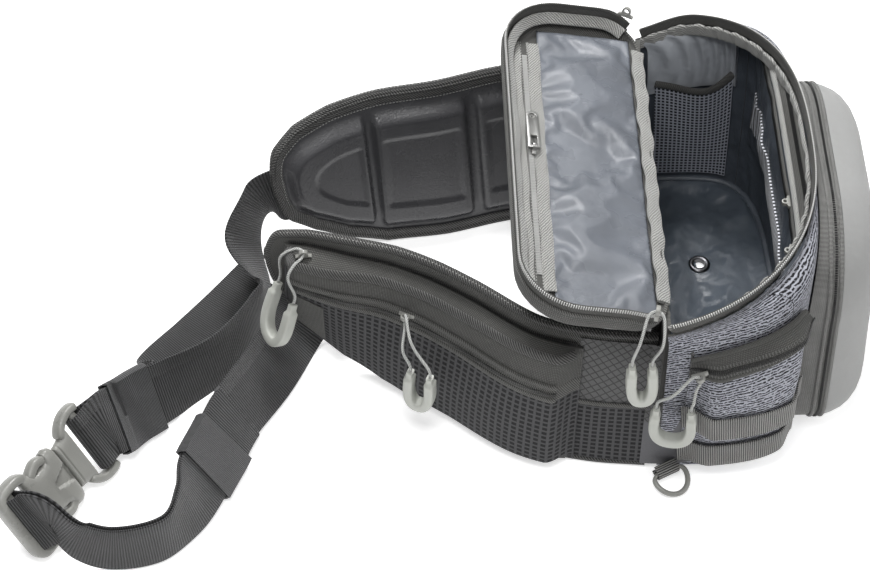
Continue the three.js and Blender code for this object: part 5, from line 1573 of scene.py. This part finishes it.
keeper("left", left, -1, nearest(left[0], -370, -124), nearest(left[0], -382, -158))
keeper("right", right, 1, *keep)
fold_c, fold_w, fold_n = stations(left_back[0][-14:], across=left_back[1][-14:])
swept("belt_left_fold", (fold_c - fold_n * 1.9, fold_w, fold_n), flat_profile(WEBBING, 2.2), "webbing",
      slot="webbing")
end, end_lean = left_back[0][-1] - fold_n[-1] * 2.6, left_back[1][-1]
roll = [end + end_lean * k for k in np.linspace(-WEBBING / 2, WEBBING / 2, 40)]
tape("belt_left_hem", roll, fold_n[-1], round_profile(3.0, 2.4, 2.4), "webbing", "webbing")
print("keepers made")

# %% [markdown]
# ## Hard pieces
# The zip sliders, the ring and the metal pull keep their solids' shapes. A copy of each is merged,
# cleaned of needless edges and given small rounded edges, because moulded plastic never has a knife
# edge and the bright line along it makes it read as plastic. The ring is rounded by subdivision.

# %% Softened copies
def softened(node, name, look_name, radius, body="pack", levels=0):
    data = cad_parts[node].data.copy()
    data.name = name
    data.materials.clear()
    data.materials.append(LOOK[look_name])
    work = bmesh.new()
    work.from_mesh(data)
    bmesh.ops.remove_doubles(work, verts=work.verts, dist=2e-5)
    bmesh.ops.dissolve_limit(work, angle_limit=math.radians(4), verts=work.verts, edges=work.edges)
    if radius:
        sharp = [e for e in work.edges if e.is_manifold and e.calc_face_angle(0) > math.radians(28)]
        bmesh.ops.bevel(work, geom=sharp, offset=radius * MM, segments=2, profile=0.6, affect="EDGES",
                        clamp_overlap=True)
    bmesh.ops.triangulate(work, faces=[f for f in work.faces if len(f.verts) > 4])
    work.to_mesh(data)
    work.free()
    piece = add(bpy.data.objects.new(name, data))
    if levels:
        modifier = piece.modifiers.new("round", "SUBSURF")
        modifier.levels = modifier.render_levels = levels
        bpy.context.view_layer.update()
        rounded = piece.evaluated_get(bpy.context.evaluated_depsgraph_get())
        piece.data = bpy.data.meshes.new_from_object(rounded)
        piece.modifiers.clear()
    piece.data.shade_smooth()
    piece.data.set_sharp_from_angle(angle=math.radians(40))
    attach(piece, body)
    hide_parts(node)


ZIP_SLIDERS = (
    "wing_top_slider", "wing_side_slider", "main_slider_left", "main_slider_right", "side_slider_left",
)
HARD = (
    ("hard", 0.35, "slider_plastic", ZIP_SLIDERS),
    ("metal", 0.35, "metal", ("lid_pocket_slider",)),
    ("hard", 0.3, "metal", ("inner_puller_near", "inner_puller_far")),
)
for look_name, radius, slot, nodes in HARD:
    for node in nodes:
        softened(node, node + "_finished", look_name, radius)
softened("lid_pull_tab", "lid_pull_tab_finished", "metal", 0.35, body="tab")
softened("d_ring_left", "ring_finished", "hard", 0, body="ring", levels=2)
print("hard pieces", sum(len(nodes) for *_, nodes in HARD) + 2)

# %% [markdown]
# ## Buckle
# The fastened buckle is built from rounded bodies in its own axes: along, across and away. A body
# is a pillow whose half width and half thickness change along it. A sunk window, two springy side
# leaves and rounded end frames make it read as a side release buckle.

# %% Buckle bodies
def pillow(name, first, last, widths, thick, node):
    """A rounded plate; the table gives its half width along it, thick its half thickness at a place."""
    wide = lambda l: float(np.interp(l, *zip(*widths)))

    def half(l, s):
        end = (1 - abs(2 * (l - first) / (last - first) - 1) ** 14) ** 0.5
        edge = max(0, 1 - abs(s) ** 7) ** 0.4 * max(end, 0)
        return thick(l, s * wide(l)) * edge

    across = np.sin(np.linspace(-math.pi / 2, math.pi / 2, 61))
    layered(name, lambda l, s, o: buckle_at(l, s * wide(l), o), np.linspace(first, last, 70), across, half,
            lambda l, s: -half(l, s), ("hard", "hard"), slot="buckle_plastic", node=node)


def socket_thick(l, w):
    window = smooth(0, 1.2, 8.5 - 0.35 * (l + 8) - abs(w)) * smooth(0, 1.2, 8 - abs(l + 1))
    return 6.3 - 0.9 * smooth(2, 10, l) - 2.8 * window


def plug_thick(l, _):
    return 4.6 - 0.8 * smooth(0, 1, 1.2 - abs(l + 14))


SOCKET_WIDTHS = (
    (-10, 20), (-8, 24.5), (-4, 26.5), (0, 26), (2, 21), (6, 18.6), (12, 18.2), (16, 19.5), (19, 24),
    (23, 27), (28, 29.5),
)
PLUG_WIDTHS = ((-28, 27), (-24, 23), (-18, 21), (-10, 19.5))
pillow("buckle_socket_body", -10, 28, SOCKET_WIDTHS, socket_thick, "buckle_socket")
pillow("buckle_plug_body", -28, -10.6, PLUG_WIDTHS, plug_thick, "buckle_plug")
print("buckle bodies made")


# %% Buckle frames
def mirrored(line):
    return [(l, -w) for l, w in line]


def bar(l):
    return [(l, w) for w in (29, 10, -10, -29)]


END = [(20, 23), (27, 27.6), (39, 28.8), (45, 28), (48.2, 24.5), (49, 13)]
EAR = [(-20, 20), (-26, 26.5), (-33, 30), (-41, 30.4), (-47, 28.6)]
LEAF = [(-3, 18), (3, 22.4), (8, 23.8), (14, 22), (19, 19)]
FRAMES = (
    ("end_frame", (3.9, 5.6), 0, END + mirrored(END[::-1])), ("inner_bar", (3.4, 3.4), 0, bar(BAR_AT)),
    ("plug_ear_near", (3.2, 5.0), 0, EAR), ("plug_ear_far", (3.2, 5.0), 0, mirrored(EAR)),
    ("plug_bar", (3.4, 3.4), 0, bar(-BAR_AT)), ("leaf_near", (3.6, 4.4), 0, LEAF),
    ("leaf_far", (3.6, 4.4), 0, mirrored(LEAF)),
    ("middle_prong", (3.6, 2.2), 0.8, [(-11, 0), (-4, 0), (3, 0), (6, 0)]),
)
for name, size, lift, line in FRAMES:
    steps = 14 * len(line)
    ends = np.clip(1 - np.abs(np.linspace(-1, 1, steps)) ** 16, 0.06, 1) ** 0.5
    tape(f"buckle_{name}", Curve([buckle_at(l, w, lift) for l, w in line]).points(steps), AWAY,
         round_profile(*size, 3.6, 24), "hard", "buckle_plastic", widths=ends, sharp=60)
print("buckle pieces", len(FRAMES) + 2)

# %% [markdown]
# ## Ring loop
# A short loop of webbing holds the ring at the bag's lower corner. It is swept round the ring's bar,
# so that the ring can swing in it.

# %% Ring loop
RING, LOOP_RADIUS = v3(-46, -150.6, 8.4), 3.8
ring_out, ring_bar = unit(v3(0.45, -0.89, -0.25)), unit(v3(0.89, 0.45, 0))
ring_up = unit(np.cross(ring_bar, ring_out))
ring_up = ring_up if ring_up[2] > 0 else -ring_up
ring_at = lambda o, n: RING + ring_out * o + ring_up * n
line = [ring_at(LOOP_RADIUS * math.sin(a), LOOP_RADIUS * math.cos(a)) for a in np.linspace(0, math.pi, 20)]
line = [ring_at(-4.8, LOOP_RADIUS), *line, ring_at(-4.8, -LOOP_RADIUS)]
swept("ring_loop", stations(line, across=ring_bar), flat_profile(18, 1.4), "band", slot="webbing",
      node="d_ring_loop_left")
print("ring loop made")

# %% [markdown]
# ## Cord pulls
# Four zip sliders carry a loop of braided cord that ends in a moulded U grip. The cord goes from one
# arm of the grip up, round through the slider's eye and back down into the other arm. Each cord's
# length is measured along its line and printed.

# %% Cord helpers
CORD, TURN, EYE_HEIGHT, CORD_STEPS, GRIP_STEPS = 2.2, 5.8, 8 - (2.2 / 2 + 1 + 1.3), 90, 70
# How far down the grip and in from its arm each point of its outline lies, as shares of its size.
GRIP = ((0, 0), (0.3, -0.03), (0.66, -0.03), (0.88, 0.08), (1, 0.3))


def even_path(line, passes=6):
    raw = line.points(481)
    gone = np.r_[0, np.cumsum(steps_of(raw))]
    spots = np.linspace(0, gone[-1], CORD_STEPS)
    path = np.stack([np.interp(spots, gone, raw[:, k]) for k in range(3)], 1)
    for _ in range(passes):
        path[2:-2] = (path[1:-3] + 2 * path[2:-2] + path[3:-1]) / 4
    return path


def cord_path(pull, middle, down):
    """The cord's line: out of the first arm, round through the eye and back into the second."""
    along = unit(pull["along"])
    side_way = unit(np.cross(pull["away"], along))
    eye = pull["origin"] + unit(np.cross(along, side_way)) * EYE_HEIGHT
    first, second = pull["arms"]
    bulge = pull["bulge"]
    out = -side_way if (first - second) @ side_way < 0 else side_way
    way = (middle - eye) * 0.4 + bulge * 1.3
    back = unit(way - out * (way @ out))
    turns = np.radians(np.linspace(86, -86, 7))
    turn = [eye + (out * math.sin(a) + back * (1 - math.cos(a))) * TURN for a in turns]
    rise = lambda arm, k: mix(arm, eye + back * TURN, 0.6) + bulge + out * k
    return even_path(Curve([
        first - down * 0.8, first - down * 6, rise(first, 5), *turn,
        rise(second, -5), second - down * 6, second - down * 0.8,
    ]))


def grip_path(pull, middle, down):
    size = float(np.linalg.norm(pull["base"] - middle)) * 0.9
    first, second = pull["arms"]
    across = second - first
    line = [first + down * size * k + across * m for k, m in GRIP]
    line += [second + down * size * k - across * m for k, m in GRIP[::-1]]
    return Curve(line).points(GRIP_STEPS)


print("eye of a slider", round(EYE_HEIGHT, 1), "mm up")

# %% Cord pulls
left_wing = WING["left"]
PULLS = [
    {"name": "wing_top", "cad": "wing_top", "origin": left_wing.at(0.87, 0.9, 12) - UP * 0.3,
     "along": v3(-0.95, -0.05, 0), "away": v3(-0.1, -0.15, 1),
     "arms": (v3(-329, -30, 88), v3(-318, -48, 84)), "base": v3(-336, -57, 52), "bulge": v3(-5, -1, 7)},
    {"name": "wing_side", "cad": "wing_side",
     "origin": left_wing.at(0.54, 0.72, pocket_rise(0.54, 0.72) + 3.3),
     "along": v3(-0.9, 0.4, 0), "away": v3(-0.45, -0.85, 0.2),
     "arms": (v3(-233, -104, 74), v3(-219, -110, 74)), "base": v3(-227, -110, 38), "bulge": v3(-3, -6, 2)},
    {"name": "main", "cad": "main_pull", "origin": lid(14, -142, gusset(14) + 9 + 2.25),
     "along": v3(-0.25, -1, -0.2), "away": v3(0, -0.3, 1),
     "arms": (v3(-80, -153, 140), v3(-66, -153, 140)), "base": v3(-71, -153, 98), "bulge": v3(0, -8, 5)},
    {"name": "side", "cad": "side_pull", "origin": side_wall(-1)(-32, side_top(-32) + 8, 9),
     "along": v3(1, 0, 0.42), "away": v3(0, -1, 0.1),
     "arms": (v3(-60, -156, 94), v3(-36, -160, 94)), "base": v3(-48, -162, 60), "bulge": v3(-2, -6, 2)},
]
bend = np.abs(np.linspace(-1, 1, GRIP_STEPS))
swell = 1.26 - 0.4 * smooth(0.86, 0.9, bend) - 0.08 * bend
for pull in PULLS:
    first, second = pull["arms"]
    middle = (first + second) / 2
    down = unit(pull["base"] - middle)
    away = unit(np.cross(second - first, down))
    path = cord_path(pull, middle, down)
    tube = tape(f"{pull['name']}_cord_braid", path, away, round_profile(CORD / 2, sides=10), "cord",
                "pull_cord", node=pull["cad"] + "_cord")
    grip = tape(f"{pull['name']}_grip", grip_path(pull, middle, down), away,
                round_profile(3.1, 4.3, 4.5, 24), "pull", "pull_plastic", widths=swell, sharp=60,
                node=pull["cad"] + "_handle")
    length = float(steps_of(path).sum()) * MM
    print("cord", pull["name"], round(length * 1000), "mm")

# %% [markdown]
# ## Floor
# The studio floor is a wide pale sheet. It is only staging.

# %% Finish
FLOOR_HALF, FLOOR_Z = 6, -0.0012
data = bpy.data.meshes.new("studio_floor")
corners = [(x * FLOOR_HALF, y * FLOOR_HALF, FLOOR_Z) for x, y in ((-1, -1), (1, -1), (1, 1), (-1, 1))]
data.from_pydata(corners, [], [(0, 1, 2, 3)])
paint = Recipe("pale_floor", (0.93, 0.93, 0.93), 0.8)
paint.set("Emission Color", (1, 1, 1, 1))
paint.set("Emission Strength", 0.55)
data.materials.append(paint.material)
add(bpy.data.objects.new("studio_floor", data))
